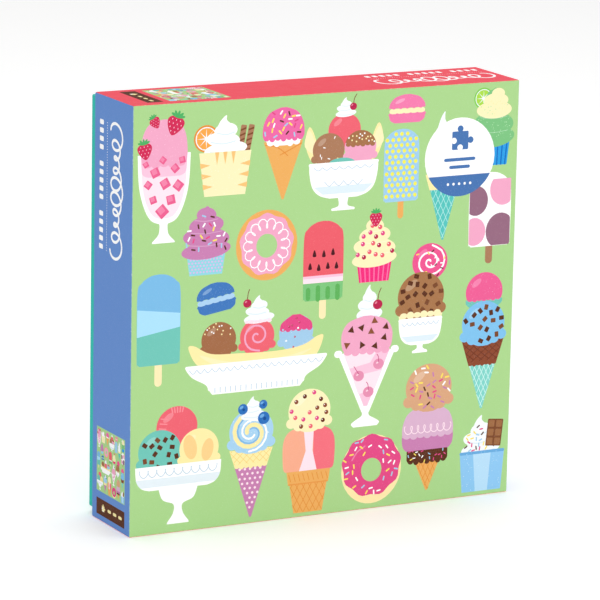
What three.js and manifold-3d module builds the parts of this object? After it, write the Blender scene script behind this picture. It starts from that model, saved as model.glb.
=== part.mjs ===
// A boxed jigsaw puzzle, standing on its lower edge. The box is a set-up box: a lid of wrapped
// greyboard slips over a wrapped greyboard tray, which holds a bag of puzzle pieces and a leaflet.
// Units are millimetres. X runs to the right, Y from the printed front to the back, Z up.
// The origin is under the middle of the box, on the surface that it stands on.
import * as THREE from "three";
import { RoundedBoxGeometry } from "three/addons/geometries/RoundedBoxGeometry.js";
import { mergeVertices } from "three/addons/utils/BufferGeometryUtils.js";
import Module from "manifold-3d";

const wasm = await Module();
wasm.setup();

// ---------------------------------------------------------------- driving dimensions
const FACE = 203.2; // width and height of the lid, 8 inches
const BOX_DEPTH = 50.8; // front of the lid to back of the tray, 2 inches
const LID_DEPTH = 41.7; // the tray shows behind the lid by the rest

const PAPER = 0.2; // printed wrap
const TAPE = 0.15; // kraft tape over the board's corners
const BOARD = 1.55; // greyboard
const GLUE = 0.05; // glue line between two layers
const TURN_IN = 18; // how far the wrap goes down the inside of the walls
const TAPE_LEG = 12; // corner tape on each of its two walls
const SLIP = 0.35; // clearance between lid and tray on each side
const REST_GAP = 0.3; // between pieces that lie on each other

const LEAF = 0.3; // one leaf of the folded leaflet
const LEAFLET_WIDTH = 105;
const LEAFLET_HEIGHT = 148;
const LEAFLET_OPENING = 1; // how far the free edges of its two leaves stand apart

const BAG_WIDTH = 187;
const BAG_HEIGHT = 178;
const BAG_BOTTOM_DEPTH = 38; // the pieces sink, so the bag is fuller at the bottom
const BAG_TOP_DEPTH = 34;
const BAG_EDGE_RADIUS = 6;
const BAG_EDGE_STEPS = 3;
const FILM = 0.1;
const SEAL_HEIGHT = 5; // the flat heat seal across each end of the bag
const VENT_RADIUS = 3; // air hole punched in the bag
const VENT_BELOW_TOP = 16;

const PUZZLE_SIZE = 508; // the finished picture, 20 inches square
const COLUMNS = 25;
const ROWS = 20;
const PIECE_THICKNESS = 1.8;
const TAB = 2; // a tab stands about 2.5 times this out of its side
const TAB_PLAY = 0.7; // how much tabs differ from each other
const CURVE_STEPS = [5, 7, 5]; // line segments in a side's three curves: shoulder, tab, shoulder

// The pieces at the front of the bag are modelled one by one, the rest as one heap.
const FRONT_ROWS = 5;
const FRONT_COLUMNS = 4;
const FRONT_PITCH = 37.5; // wider than the longest piece, tabs included
const FRONT_LAYER = 5.6; // depth of the layer that they lie in
const FRONT_TILT = 3.5; // degrees, at most, out of the heap's plane

// ---------------------------------------------------------------- places that follow
const MIDDLE = FACE / 2; // height of the centre
const FRONT = -BOX_DEPTH / 2;
const BACK = BOX_DEPTH / 2;
const BOARD_START = PAPER + GLUE + TAPE + GLUE; // from the outside of the box to the board
const WALL = BOARD_START + BOARD; // from the outside of the box to the bare board inside
const LINED_WALL = WALL + GLUE + PAPER; // the same where the wrap is turned in
const TRAY_INSET = LINED_WALL + SLIP;
const LID = { face: FACE, panel: FRONT, rim: FRONT + LID_DEPTH, way: 1 };
const TRAY = { face: FACE - 2 * TRAY_INSET, panel: BACK, rim: FRONT + WALL + REST_GAP, way: -1 };
const TRAY_INSIDE_BOTTOM = TRAY_INSET + LINED_WALL;
const BAG_BACK = BACK - WALL - REST_GAP;
const BAG_MIDDLE = TRAY_INSIDE_BOTTOM + REST_GAP + SEAL_HEIGHT + BAG_HEIGHT / 2;
const BAG_LEAN = Math.atan2(BAG_BOTTOM_DEPTH - BAG_TOP_DEPTH, BAG_HEIGHT);

// ---------------------------------------------------------------- materials
const paint = (color, roughness, extra = {}) =>
  new THREE.MeshStandardMaterial({ color, roughness, metalness: 0, ...extra });
const LID_PRINT = paint(0xadd58f, 0.45);
const TRAY_PRINT = paint(0x3cbbad, 0.45);
const GREYBOARD = paint(0xb4ab9d, 0.9);
const KRAFT = paint(0xb98d5b, 0.85);
const CLEAR_FILM = paint(0xe9eef2, 0.15, { transparent: true, opacity: 0.35 });
const HEAPED_CARD = paint(0xb9c79a, 0.7);
const LEAFLET_PAPER = paint(0xf4f2ec, 0.5);
const PICTURE_COLOURS = [0xadd58f, 0xf2a3c4, 0xe8417f, 0xf7f6f4, 0xeb9a4b, 0x8a5a3c, 0x86c0e8];

// ---------------------------------------------------------------- solids
function solidOf(geometry) {
  const bare = geometry.clone();
  bare.deleteAttribute("normal");
  bare.deleteAttribute("uv");
  const merged = mergeVertices(bare, 1e-4);
  return new wasm.Manifold(
    new wasm.Mesh({
      numProp: 3,
      vertProperties: merged.attributes.position.array,
      triVerts: new Uint32Array(merged.index.array),
    }),
  );
}

function geometryOf(solid) {
  const mesh = solid.getMesh();
  const geometry = new THREE.BufferGeometry();
  geometry.setAttribute("position", new THREE.BufferAttribute(mesh.vertProperties, 3));
  geometry.setIndex(new THREE.BufferAttribute(mesh.triVerts, 1));
  geometry.computeVertexNormals();
  return geometry;
}

function named(name, geometry, material) {
  const mesh = new THREE.Mesh(geometry, material);
  mesh.name = name;
  return mesh;
}

// ---------------------------------------------------------------- lid and tray
// Both are the same open box, seen from its large panel: face is its outer width and height,
// panel and rim are the outside of the panel and the end of the walls along Y, and way is the
// direction from the panel to the rim.

// A square block on the middle of the box, between two places along Y.
function block(side, start, end) {
  const depth = Math.abs(end - start);
  const geometry = new THREE.BoxGeometry(side, depth, side);
  return solidOf(geometry.translate(0, (start + end) / 2, MIDDLE));
}

function boardOf({ face, panel, rim, way }) {
  const outside = block(face - 2 * BOARD_START, panel + way * BOARD_START, rim - way * BOARD_START);
  const hollow = block(face - 2 * WALL, panel + way * WALL, rim + way);
  return outside.subtract(hollow);
}

// One sheet of paper, which covers the panel and the walls and is turned in over the rim.
function wrapOf({ face, panel, rim, way }) {
  const outside = block(face, panel, rim);
  const underSheet = block(face - 2 * PAPER, panel + way * PAPER, rim - way * PAPER);
  const turnIn = block(face - 2 * (WALL + GLUE), rim - way * TURN_IN, rim - way * PAPER);
  const mouth = block(face - 2 * LINED_WALL, rim - way * (TURN_IN + 1), rim + way);
  return outside.subtract(underSheet.subtract(turnIn)).subtract(mouth);
}

// Kraft tape round one corner of the board, as long as the walls are deep.
function cornerTape({ face, panel, rim, way }, quarterTurns) {
  const outer = face / 2 - PAPER - GLUE;
  const inner = outer - TAPE;
  const end = outer - TAPE_LEG;
  const corners = [[outer, outer], [end, outer], [end, inner], [inner, inner], [inner, end], [outer, end]];
  const outline = new THREE.Shape(corners.map(([x, z]) => new THREE.Vector2(x, z)));
  const start = panel + way * BOARD_START;
  const stop = rim - way * BOARD_START;
  const length = Math.abs(stop - start);
  const geometry = new THREE.ExtrudeGeometry(outline, { depth: length, bevelEnabled: false });
  geometry.rotateX(Math.PI / 2);
  geometry.rotateY((quarterTurns * Math.PI) / 2);
  return geometry.translate(0, Math.max(start, stop), MIDDLE);
}

function shell(label, sizes, print) {
  const group = new THREE.Group();
  group.add(named(`${label}_wrap`, geometryOf(wrapOf(sizes)), print));
  group.add(named(`${label}_board`, geometryOf(boardOf(sizes)), GREYBOARD));
  ["top_right", "bottom_right", "bottom_left", "top_left"].forEach((corner, turns) => {
    group.add(named(`${label}_corner_tape_${corner}`, cornerTape(sizes, turns), KRAFT));
  });
  return group;
}

// ---------------------------------------------------------------- puzzle pieces
const PIECE_WIDTH = PUZZLE_SIZE / COLUMNS;
const PIECE_HEIGHT = PUZZLE_SIZE / ROWS;

// A repeatable number from -1 to 1 for each whole number.
function scatter(index) {
  const wave = Math.sin(index * 12.9898 + 4.1414) * 43758.5453;
  return 2 * (wave - Math.floor(wave)) - 1;
}

// The die's cut between two neighbours: from (0, 0) to (length, 0) with one tab between.
function cutLine(length, seed) {
  const [slip, lean, lift, first, last, side] = [1, 2, 3, 4, 5, 6].map((k) => scatter(7 * seed + k));
  const middle = length / 2 + slip * TAB_PLAY;
  const bend = lean * TAB_PLAY;
  const rise = lift * TAB_PLAY;
  const stops = [
    [0, 0], [0.2 * length, first * TAB_PLAY], [middle + bend, rise - TAB],
    [middle - TAB, rise + TAB], [middle - 2 * TAB - bend, rise + 3 * TAB],
    [middle + 2 * TAB - bend, rise + 3 * TAB], [middle + TAB, rise + TAB],
    [middle + bend, rise - TAB], [0.8 * length, last * TAB_PLAY], [length, 0],
  ].map(([along, out]) => new THREE.Vector2(along, out * Math.sign(side)));
  const curves = CURVE_STEPS.map((steps, k) =>
    new THREE.CubicBezierCurve(...stops.slice(3 * k, 3 * k + 4)).getPoints(steps).slice(0, -1),
  );
  return [...curves.flat(), stops[9]];
}

// The line under a piece, and the line on its left. The picture's own edges are straight.
function lowerLine(column, row) {
  const inside = row > 0 && row < ROWS;
  const straight = [new THREE.Vector2(0, 0), new THREE.Vector2(PIECE_WIDTH, 0)];
  const line = inside ? cutLine(PIECE_WIDTH, column + row * COLUMNS) : straight;
  return line.map((p) => new THREE.Vector2(p.x + column * PIECE_WIDTH, p.y + row * PIECE_HEIGHT));
}

function leftLine(column, row) {
  const inside = column > 0 && column < COLUMNS;
  const straight = [new THREE.Vector2(0, 0), new THREE.Vector2(PIECE_HEIGHT, 0)];
  const line = inside ? cutLine(PIECE_HEIGHT, column + row * COLUMNS + COLUMNS * ROWS) : straight;
  return line.map((p) => new THREE.Vector2(column * PIECE_WIDTH - p.y, row * PIECE_HEIGHT + p.x));
}

// A piece by its place in the picture, centred, with its picture towards -Y.
function pieceGeometry(column, row) {
  const round = [
    lowerLine(column, row),
    leftLine(column + 1, row),
    lowerLine(column, row + 1).reverse(),
    leftLine(column, row).reverse(),
  ].flatMap((line) => line.slice(0, -1));
  const centre = new THREE.Vector2((column + 0.5) * PIECE_WIDTH, (row + 0.5) * PIECE_HEIGHT);
  const outline = new THREE.Shape(round.map((p) => p.clone().sub(centre)));
  const geometry = new THREE.ExtrudeGeometry(outline, { depth: PIECE_THICKNESS, bevelEnabled: false });
  return geometry.translate(0, 0, -PIECE_THICKNESS / 2).rotateX(Math.PI / 2);
}

// Rows of loose pieces against the front of the bag. The group's own plane is the bag's front.
function frontPieces() {
  const group = new THREE.Group();
  for (let index = 0; index < FRONT_ROWS * FRONT_COLUMNS; index += 1) {
    const row = Math.floor(index / FRONT_COLUMNS);
    const step = (index % FRONT_COLUMNS) - (FRONT_COLUMNS - 1) / 2;
    const stagger = row % 2 ? 0.25 : -0.25;
    const geometry = pieceGeometry((7 * index + 3) % COLUMNS, (11 * index + 5) % ROWS);
    const colour = PICTURE_COLOURS[index % PICTURE_COLOURS.length];
    const piece = named(`puzzle_piece_${String(index + 1).padStart(2, "0")}`, geometry, paint(colour, 0.5));
    const tilt = THREE.MathUtils.degToRad(FRONT_TILT);
    piece.rotation.set(tilt * scatter(9000 + index), Math.PI * scatter(9100 + index), 0);
    piece.position.x = (step + stagger) * FRONT_PITCH;
    piece.position.z = (row - (FRONT_ROWS - 1) / 2) * FRONT_PITCH * Math.sin(Math.PI / 3);
    piece.position.y = FRONT_LAYER / 2;
    group.add(piece);
  }
  group.rotation.x = -BAG_LEAN;
  group.position.set(0, BAG_BACK - (BAG_BOTTOM_DEPTH + BAG_TOP_DEPTH) / 2, BAG_MIDDLE);
  return group;
}

// ---------------------------------------------------------------- bag and leaflet
// The bag's outer form, or one inside it: flat at the back, and leaning back at the front.
function pillow(inset, frontInset) {
  const depth = BAG_BOTTOM_DEPTH - inset - frontInset;
  const box = [BAG_WIDTH - 2 * inset, depth, BAG_HEIGHT - 2 * inset];
  const geometry = new RoundedBoxGeometry(...box, BAG_EDGE_STEPS, BAG_EDGE_RADIUS - inset);
  const place = geometry.attributes.position;
  for (let i = 0; i < place.count; i += 1) {
    const level = place.getZ(i) / BAG_HEIGHT + 0.5;
    const lost = level * (BAG_BOTTOM_DEPTH - BAG_TOP_DEPTH);
    const forward = (depth / 2 - place.getY(i)) * (1 - lost / depth);
    place.setY(i, BAG_BACK - inset - forward);
  }
  return solidOf(geometry.translate(0, 0, BAG_MIDDLE));
}

function bagFilm() {
  const seal = new THREE.BoxGeometry(BAG_WIDTH, 2 * FILM, SEAL_HEIGHT);
  const sealMiddle = (BAG_HEIGHT + SEAL_HEIGHT) / 2 - FILM / 2;
  const sealBack = BAG_BACK - BAG_TOP_DEPTH / 2;
  const upperSeal = solidOf(seal.clone().translate(0, sealBack, BAG_MIDDLE + sealMiddle));
  const lowerSeal = solidOf(seal.translate(0, sealBack, BAG_MIDDLE - sealMiddle));
  const vent = new THREE.CylinderGeometry(VENT_RADIUS, VENT_RADIUS, BAG_BOTTOM_DEPTH, 24);
  const ventHeight = BAG_MIDDLE + BAG_HEIGHT / 2 - VENT_BELOW_TOP;
  const ventHole = solidOf(vent.translate(0, BAG_BACK - BAG_BOTTOM_DEPTH, ventHeight));
  return pillow(0, 0).subtract(pillow(FILM, FILM)).subtract(ventHole).add(upperSeal).add(lowerSeal);
}

function heap() {
  const clear = FILM + REST_GAP;
  return pillow(clear, FILM + FRONT_LAYER);
}

// A sheet folded once, with the fold on the left, seen along Z.
function leafletOutline() {
  const right = LEAFLET_WIDTH / 2;
  const fold = LEAF - right;
  const gap = LEAFLET_OPENING / 2;
  const outline = new THREE.Shape();
  outline.moveTo(right, gap + LEAF);
  outline.lineTo(fold, LEAF);
  outline.absarc(fold, 0, LEAF, Math.PI / 2, (3 * Math.PI) / 2, false);
  outline.lineTo(right, -gap - LEAF);
  outline.lineTo(right, -gap);
  outline.lineTo(fold, 0);
  outline.lineTo(right, gap);
  return outline;
}

// It stands on the tray's lower wall and leans on the bag.
function leaflet() {
  const options = { depth: LEAFLET_HEIGHT, bevelEnabled: false, curveSegments: 6 };
  const sheet = named("leaflet", new THREE.ExtrudeGeometry(leafletOutline(), options), LEAFLET_PAPER);
  const bagFront = BAG_BACK - BAG_BOTTOM_DEPTH - SEAL_HEIGHT * Math.sin(BAG_LEAN);
  sheet.rotation.x = -BAG_LEAN;
  sheet.position.set(0, bagFront - LEAFLET_OPENING / 2 - LEAF - REST_GAP, TRAY_INSIDE_BOTTOM + REST_GAP);
  return sheet;
}

// ---------------------------------------------------------------- the boxed puzzle
const puzzle = new THREE.Group();
puzzle.add(shell("lid", LID, LID_PRINT));
puzzle.add(shell("tray", TRAY, TRAY_PRINT));
puzzle.add(named("piece_bag", geometryOf(bagFilm()), CLEAR_FILM));
puzzle.add(named("piece_heap", geometryOf(heap()), HEAPED_CARD));
puzzle.add(frontPieces());
puzzle.add(leaflet());

export default puzzle;
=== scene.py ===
"""Looks for the boxed jigsaw puzzle: its printed wraps, bare board, loose pieces, bag and leaflet.

Printed art is drawn as flat shapes in millimetres, cut into one-colour triangles, and folded
round the box as the real sheet of paper is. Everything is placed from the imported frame.
"""
import math
import random
from functools import cache

import bmesh
import bpy
import numpy as np
from mathutils import Matrix, Vector, noise
from mathutils.geometry import delaunay_2d_cdt


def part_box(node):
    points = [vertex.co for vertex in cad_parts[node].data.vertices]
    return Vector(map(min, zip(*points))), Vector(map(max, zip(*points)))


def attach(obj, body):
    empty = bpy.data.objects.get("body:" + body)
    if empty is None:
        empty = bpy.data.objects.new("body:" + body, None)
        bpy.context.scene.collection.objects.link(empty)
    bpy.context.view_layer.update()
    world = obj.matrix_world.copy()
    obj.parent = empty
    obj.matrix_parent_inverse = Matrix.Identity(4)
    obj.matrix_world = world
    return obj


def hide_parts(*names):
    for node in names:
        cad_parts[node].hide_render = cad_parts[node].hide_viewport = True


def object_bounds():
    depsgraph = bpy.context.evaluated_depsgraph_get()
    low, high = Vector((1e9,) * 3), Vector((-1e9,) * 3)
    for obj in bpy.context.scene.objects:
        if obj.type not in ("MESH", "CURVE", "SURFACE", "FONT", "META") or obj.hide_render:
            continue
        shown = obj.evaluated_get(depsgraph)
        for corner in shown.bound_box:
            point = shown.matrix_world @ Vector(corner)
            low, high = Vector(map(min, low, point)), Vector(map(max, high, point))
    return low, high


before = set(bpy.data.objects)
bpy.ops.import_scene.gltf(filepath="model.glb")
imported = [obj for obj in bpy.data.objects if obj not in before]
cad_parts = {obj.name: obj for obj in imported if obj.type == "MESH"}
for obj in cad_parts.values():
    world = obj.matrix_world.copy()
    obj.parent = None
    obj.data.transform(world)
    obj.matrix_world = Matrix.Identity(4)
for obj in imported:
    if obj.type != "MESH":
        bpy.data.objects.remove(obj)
cad_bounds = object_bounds()

MM = 0.001  # the frame is in metres
FACE = (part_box("lid_wrap")[1].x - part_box("lid_wrap")[0].x) / MM  # width and height of the lid


def in_mm(corners):
    """A box's lowest and highest corners, from metres to millimetres."""
    return [corner / MM for corner in corners]


# ---------------------------------------------------------------- colours
GREEN = "#a9d28d"
BLUE = "#668ece"
CORAL = "#f05463"
TEAL = "#36c0b1"
CHOCOLATE = "#5c3321"
WHITE = "#ffffff"
SNOW = "#f3f7fa"
ICE = "#dcebf5"
DISH_LINE = "#b9cee0"
CREAM = "#f8edbc"
BUTTER = "#fae9a8"
WAFER = "#eaac60"
TOAST = "#e18f3f"
COCOA = "#a97a5c"
MOCHA = "#a4714d"
UMBER = "#8a4a33"
DARK_UMBER = "#6b3525"
STRIPE = "#f5c27a"
PINK = "#eea6c4"
ROSE = "#f9c3da"
BLUSH = "#fbe1ec"
HOT_PINK = "#e04c86"
FUCHSIA = "#e95f94"
MAUVE = "#94697f"
BERRY = "#b8274f"
RED = "#ea6472"
SKY = "#a0c8e6"
SEA = "#70c2b5"
LILAC = "#d8b0cc"
PLUM = "#c67fb0"
LEAF = "#4fae64"
YELLOW = "#f8df62"
STICK = "#fbe7b5"
BADGE_BLUE = "#4a74af"
PRINT_GREY = "#8b8f96"
INNER_PAPER = "#f1efe9"
CARD_EDGE = "#b3a998"
CARD_BACK = "#b9b6ae"
SPRINKLES = (WHITE, YELLOW, HOT_PINK, SKY, CHOCOLATE)


def linear(code, alpha=1.0):
    """A colour written as #rrggbb, as linear red, green, blue and alpha."""
    channels = [int(code[i : i + 2], 16) / 255 for i in (1, 3, 5)]
    parts = [c / 12.92 if c <= 0.04045 else ((c + 0.055) / 1.055) ** 2.4 for c in channels]
    return (*parts, alpha)


def blend(first, second, share):
    """A colour between two, as #rrggbb."""
    pairs = [(int(first[i : i + 2], 16), int(second[i : i + 2], 16)) for i in (1, 3, 5)]
    return "#" + "".join(f"{round(a + (b - a) * share):02x}" for a, b in pairs)


# ---------------------------------------------------------------- outlines
def moved(outline, x, y, size=1.0, turn=0.0):
    """An outline scaled and turned about 0, 0, which goes to x, y."""
    cos, sin = size * math.cos(turn), size * math.sin(turn)
    return [(x + u * cos - v * sin, y + u * sin + v * cos) for u, v in outline]


def oval(x, y, wide, high=None, turn=0.0):
    """A circle or ellipse by its half-width and half-height."""
    high = wide if high is None else high
    steps = max(8, min(36, int(8 + 3 * max(wide, high))))
    rim = [(wide * math.cos(a), high * math.sin(a)) for a in np.linspace(0, math.tau, steps, endpoint=False)]
    return moved(rim, x, y, turn=turn)


def slab(x, y, wide, high, round_by=0.0, turn=0.0):
    """A rectangle with round corners, centred on x, y."""
    round_by = min(round_by, wide / 2, high / 2)
    steps = 1 if round_by == 0 else (3 if round_by < 1.5 else 6)
    points = []
    for corner, (sx, sy) in enumerate(((1, 1), (-1, 1), (-1, -1), (1, -1))):
        for k in range(steps):
            a = (corner + (k / (steps - 1) if steps > 1 else 0.5)) * math.pi / 2
            u = sx * (wide / 2 - round_by) + round_by * math.cos(a)
            v = sy * (high / 2 - round_by) + round_by * math.sin(a)
            points.append((u, v))
    return moved(points, x, y, turn=turn)


def smooth_line(points, steps=5):
    """An open Catmull-Rom curve through the points."""
    if steps == 1:
        return [tuple(p) for p in points]
    padded = [points[0], *points, points[-1]]
    curve = []
    for k in range(len(points) - 1):
        p = [np.array(q, float) for q in padded[k : k + 4]]
        for t in np.linspace(0, 1, steps, endpoint=False):
            bend = 2 * p[1] + (p[2] - p[0]) * t + (2 * p[0] - 5 * p[1] + 4 * p[2] - p[3]) * t**2
            curve.append(tuple((bend + (3 * p[1] - p[0] - 3 * p[2] + p[3]) * t**3) / 2))
    return [*curve, tuple(points[-1])]


def smooth_loop(points, steps=5):
    """A closed Catmull-Rom curve through the points."""
    ring = [points[-1], *points, points[0], points[1]]
    return smooth_line(ring, steps)[steps : -steps - 1]


def turned(profile, x=0.0, steps=5):
    """A shape that is the same on both sides of x, from (height, half-width) points, bottom first."""
    side = smooth_line([(half, height) for height, half in profile], steps)
    return [(x + u, v) for u, v in side] + [(x - u, v) for u, v in reversed(side)]


def ribbon(points, width, steps=4):
    """A line of even width with round ends and joints, as several outlines."""
    curve = smooth_line(points, steps)
    parts = [slab_between(a, b, width) for a, b in zip(curve, curve[1:]) if math.dist(a, b) > 1e-6]
    joints = curve if width > 0.5 else (curve[0], curve[-1])
    return parts + [oval(*p, width / 2) for p in joints]


def slab_between(a, b, width):
    """A straight line of even width from a to b."""
    along = Vector((b[0] - a[0], b[1] - a[1])).normalized()
    side = Vector((-along.y, along.x)) * width / 2
    ends = Vector(a) - along * width / 8, Vector(b) + along * width / 8
    return [tuple(ends[0] - side), tuple(ends[1] - side), tuple(ends[1] + side), tuple(ends[0] + side)]


def sides_of(outline):
    """Each corner with the next one."""
    return zip(outline, outline[1:] + outline[:1])


def area_of(outline):
    """The area inside an outline, below 0 where it goes round clockwise."""
    return sum(a[0] * b[1] - b[0] * a[1] for a, b in sides_of(outline)) / 2


def length_round(outline):
    return sum(math.dist(a, b) for a, b in sides_of(outline))


def is_inside(outline, x, y):
    inside = False
    for (x0, y0), (x1, y1) in sides_of(outline):
        if (y0 > y) != (y1 > y) and x < (x1 - x0) * (y - y0) / (y1 - y0) + x0:
            inside = not inside
    return inside


def edge_gap(outline, x, y):
    """How far a point is from an outline."""
    nearest = math.inf
    for (x0, y0), (x1, y1) in sides_of(outline):
        u, v = x1 - x0, y1 - y0
        t = max(0.0, min(1.0, ((x - x0) * u + (y - y0) * v) / max(u * u + v * v, 1e-12)))
        nearest = min(nearest, math.hypot(x - x0 - t * u, y - y0 - t * v))
    return nearest


TRIES_FOR_EACH = 40
ROW_STEP = 0.87  # of the pitch: in staggered rows, all neighbours are then equally far apart


def scattered(outline, count, apart, margin, seed):
    """Places inside an outline, in no order, at least apart from each other."""
    rng = random.Random(seed)
    low, high = np.min(outline, 0), np.max(outline, 0)
    places = []
    for _ in range(TRIES_FOR_EACH * count):
        x, y = rng.uniform(low[0], high[0]), rng.uniform(low[1], high[1])
        clear = all(math.hypot(x - u, y - v) > apart for u, v, _ in places)
        if clear and is_inside(outline, x, y) and edge_gap(outline, x, y) > margin:
            places.append((x, y, rng.random()))
        if len(places) == count:
            break
    return places


def grid_inside(outline, pitch, margin):
    """Places inside an outline, in staggered rows."""
    low, high = np.min(outline, 0), np.max(outline, 0)
    places = []
    for row in range(int((high[1] - low[1]) / (pitch * ROW_STEP)) + 2):
        y = low[1] + row * pitch * ROW_STEP
        for column in range(int((high[0] - low[0]) / pitch) + 2):
            x = low[0] + (column + (row % 2) / 2) * pitch
            if is_inside(outline, x, y) and edge_gap(outline, x, y) > margin:
                places.append((x, y))
    return places


def hatch(outline, pitch, width, turn):
    """Straight lines across an outline, cut off at its edge, as outlines."""
    across = Vector((math.cos(turn), math.sin(turn)))
    along = Vector((-across.y, across.x))
    reach = [Vector(p).dot(across) for p in outline]
    lines = []
    for level in np.arange(min(reach) + pitch / 2, max(reach), pitch):
        hits = []
        for a, b in sides_of(outline):
            low, high = Vector(a).dot(across) - level, Vector(b).dot(across) - level
            if (low > 0) != (high > 0):
                hits.append((Vector(a) + (Vector(b) - Vector(a)) * (low / (low - high))).dot(along))
        hits.sort()
        for start, stop in zip(hits[::2], hits[1::2]):
            if stop - start > 4 * width:
                ends = [tuple(across * level + along * s) for s in (start + width, stop - width)]
                lines.append(slab_between(*ends, width))
    return lines


def crossed(outline, pitch, width, turn):
    """Two sets of such lines, which cross."""
    return hatch(outline, pitch, width, turn) + hatch(outline, pitch, width, -turn)


# ---------------------------------------------------------------- drawing
class Drawing:
    """Flat coloured shapes in millimetres, each painted over the ones before."""

    def __init__(self):
        self.shapes = []

    def paint(self, colour, *outlines):
        for outline in outlines:
            self.shapes.append((colour, outline))

    def stamp(self, other, x, y, size=1.0, turn=0.0, finest=0.0):
        """Another drawing, scaled and turned about its own 0, 0, which goes to x, y.
        Shapes that come out thinner than finest are left out, and so are points that close together."""
        for colour, outline in other.shapes:
            placed = []
            for point in moved(outline, x, y, size, turn):
                if not placed or math.dist(point, placed[-1]) > finest:
                    placed.append(point)
            if abs(area_of(placed)) > 0.3 * finest * length_round(placed):
                self.shapes.append((colour, placed))

    def cut(self, low, high, ground, lines_x=(), lines_y=()):
        """The rectangle from low to high cut into triangles: their points, corners and the numbers of
        the shapes that cover them, where the ground is 0 and the first shape is 1.
        lines_x and lines_y are where it has to be cut right across, for a fold."""
        rectangle = [low, (high[0], low[1]), high, (low[0], high[1])]
        shapes = [(ground, rectangle)] + self.shapes
        points, loops, edges = [], [], []
        for _, outline in shapes:
            ordered = outline if area_of(outline) > 0 else outline[::-1]
            loops.append(list(range(len(points), len(points) + len(ordered))))
            points.extend(Vector(p) for p in ordered)
        folds = [((x, low[1]), (x, high[1])) for x in lines_x]
        folds += [((low[0], y), (high[0], y)) for y in lines_y]
        for ends in folds:
            edges.append((len(points), len(points) + 1))
            points.extend(Vector(end) for end in ends)
        cut = delaunay_2d_cdt(points, edges, loops, 1, 1e-5, True)
        return [tuple(p) for p in cut[0]], [tuple(t) for t in cut[2]], cut[5]

    def triangles(self, low, high, ground, lines_x=(), lines_y=()):
        """The same, with each triangle's colour for its shapes' numbers."""
        points, triangles, sources = self.cut(low, high, ground, lines_x, lines_y)
        colours = [ground] + [colour for colour, _ in self.shapes]
        return points, triangles, [colours[max(found, default=0)] for found in sources]


# ---------------------------------------------------------------- toppings
def chosen(colours, pick):
    """One of the colours, for a random number from 0 to 1."""
    return colours[int(pick * 97) % len(colours)]


def sprinkles(art, outline, count, seed, size=1.0, colours=SPRINKLES):
    for x, y, pick in scattered(outline, count, 2.0 * size, 0.9 * size, seed):
        art.paint(chosen(colours, pick), slab(x, y, 2.3 * size, 0.75 * size, 0.36 * size, pick * 20))


def chips(art, outline, count, seed, size=1.0, colours=(CHOCOLATE, "#7a4a30")):
    for x, y, pick in scattered(outline, count, 2.6 * size, 1.0 * size, seed):
        art.paint(chosen(colours, pick), slab(x, y, 1.9 * size, 1.5 * size, 0.2 * size, pick * 20))


def beads(art, outline, count, seed, size=0.7, colours=(RED, HOT_PINK, BERRY)):
    for x, y, pick in scattered(outline, count, 2.9 * size, 1.2 * size, seed):
        art.paint(chosen(colours, pick), oval(x, y, size))
        art.paint(WHITE, oval(x - size / 3, y + size / 3, size / 4))


def grain(art, outline, colour, seed, count=40):
    """Small marks a little off the ground colour, as in a screen print."""
    for x, y, pick in scattered(outline, count, 0.8, 0.5, seed):
        art.paint(colour, oval(x, y, 0.12 + 0.1 * pick))


def cherry(art, x, y, r=2.2, lean=1.0):
    stalk = [(x, y + 0.6 * r), (x + 0.5 * lean, y + 2 * r), (x + 1.7 * lean, y + 3 * r)]
    art.paint("#7c3b33", *ribbon(stalk, 0.4))
    art.paint(BERRY, oval(x, y, r, 0.93 * r))
    art.paint("#e0859d", oval(x - 0.35 * r, y + 0.35 * r, 0.3 * r, 0.17 * r, 0.6))


def strawberry(art, x, y, size=1.0, turn=0.0):
    berry = Drawing()
    body = smooth_loop([(0, -4.2), (-2.6, -1.6), (-3.5, 1.4), (-1.6, 3), (1.6, 3), (3.5, 1.4), (2.6, -1.6)])
    berry.paint("#cf2f57", body)
    for u, v in grid_inside(body, 1.7, 0.5):
        berry.paint(ROSE, oval(u, v, 0.17, 0.32))
    for k in range(5):
        a = math.pi * (0.1 + 0.2 * k)
        berry.paint(LEAF, oval(1.6 * math.cos(a), 3 + 0.9 * math.sin(a), 1.5, 0.55, a))
    art.stamp(berry, x, y, size, turn)


def blueberry(art, x, y, r):
    art.paint("#2f6fba", oval(x, y, r))
    art.paint("#6fa9de", oval(x - 0.3 * r, y + 0.35 * r, 0.42 * r, 0.25 * r, 0.5))
    art.paint("#1f4f92", oval(x + 0.15 * r, y - 0.1 * r, 0.28 * r))


def citrus(art, x, y, r, rind, flesh):
    art.paint(rind, oval(x, y, r))
    art.paint(SNOW, oval(x, y, 0.86 * r))
    wedge = [(0.12, 0), (0.72, -0.3), (0.8, 0), (0.72, 0.3)]
    for k in range(8):
        art.paint(flesh, moved(wedge, x, y, r, math.tau * (k + 0.5) / 8))


def cream(art, x, y, wide, high, colour=SNOW, shade=ICE):
    """Whipped cream that stands on y: three coils and a tip."""
    for k, (level, half) in enumerate(((0.16, 0.5), (0.4, 0.39), (0.62, 0.27))):
        lean = (-1) ** k * 0.03 * wide
        art.paint(colour, oval(x + lean, y + level * high, half * wide, 0.19 * high, (-1) ** k * 0.08))
        arc = [(x + lean + half * wide * u, y + (level - 0.1 + 0.1 * u * u) * high) for u in (-0.72, 0, 0.72)]
        art.paint(shade, *ribbon(arc, 0.028 * wide))
    tip = [(-0.17, 0.66), (-0.1, 0.86), (0.04, 1.0), (0.05, 0.88), (0.16, 0.76), (0.18, 0.64), (0, 0.58)]
    art.paint(colour, smooth_loop([(x + u * wide, y + v * high) for u, v in tip]))


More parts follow.
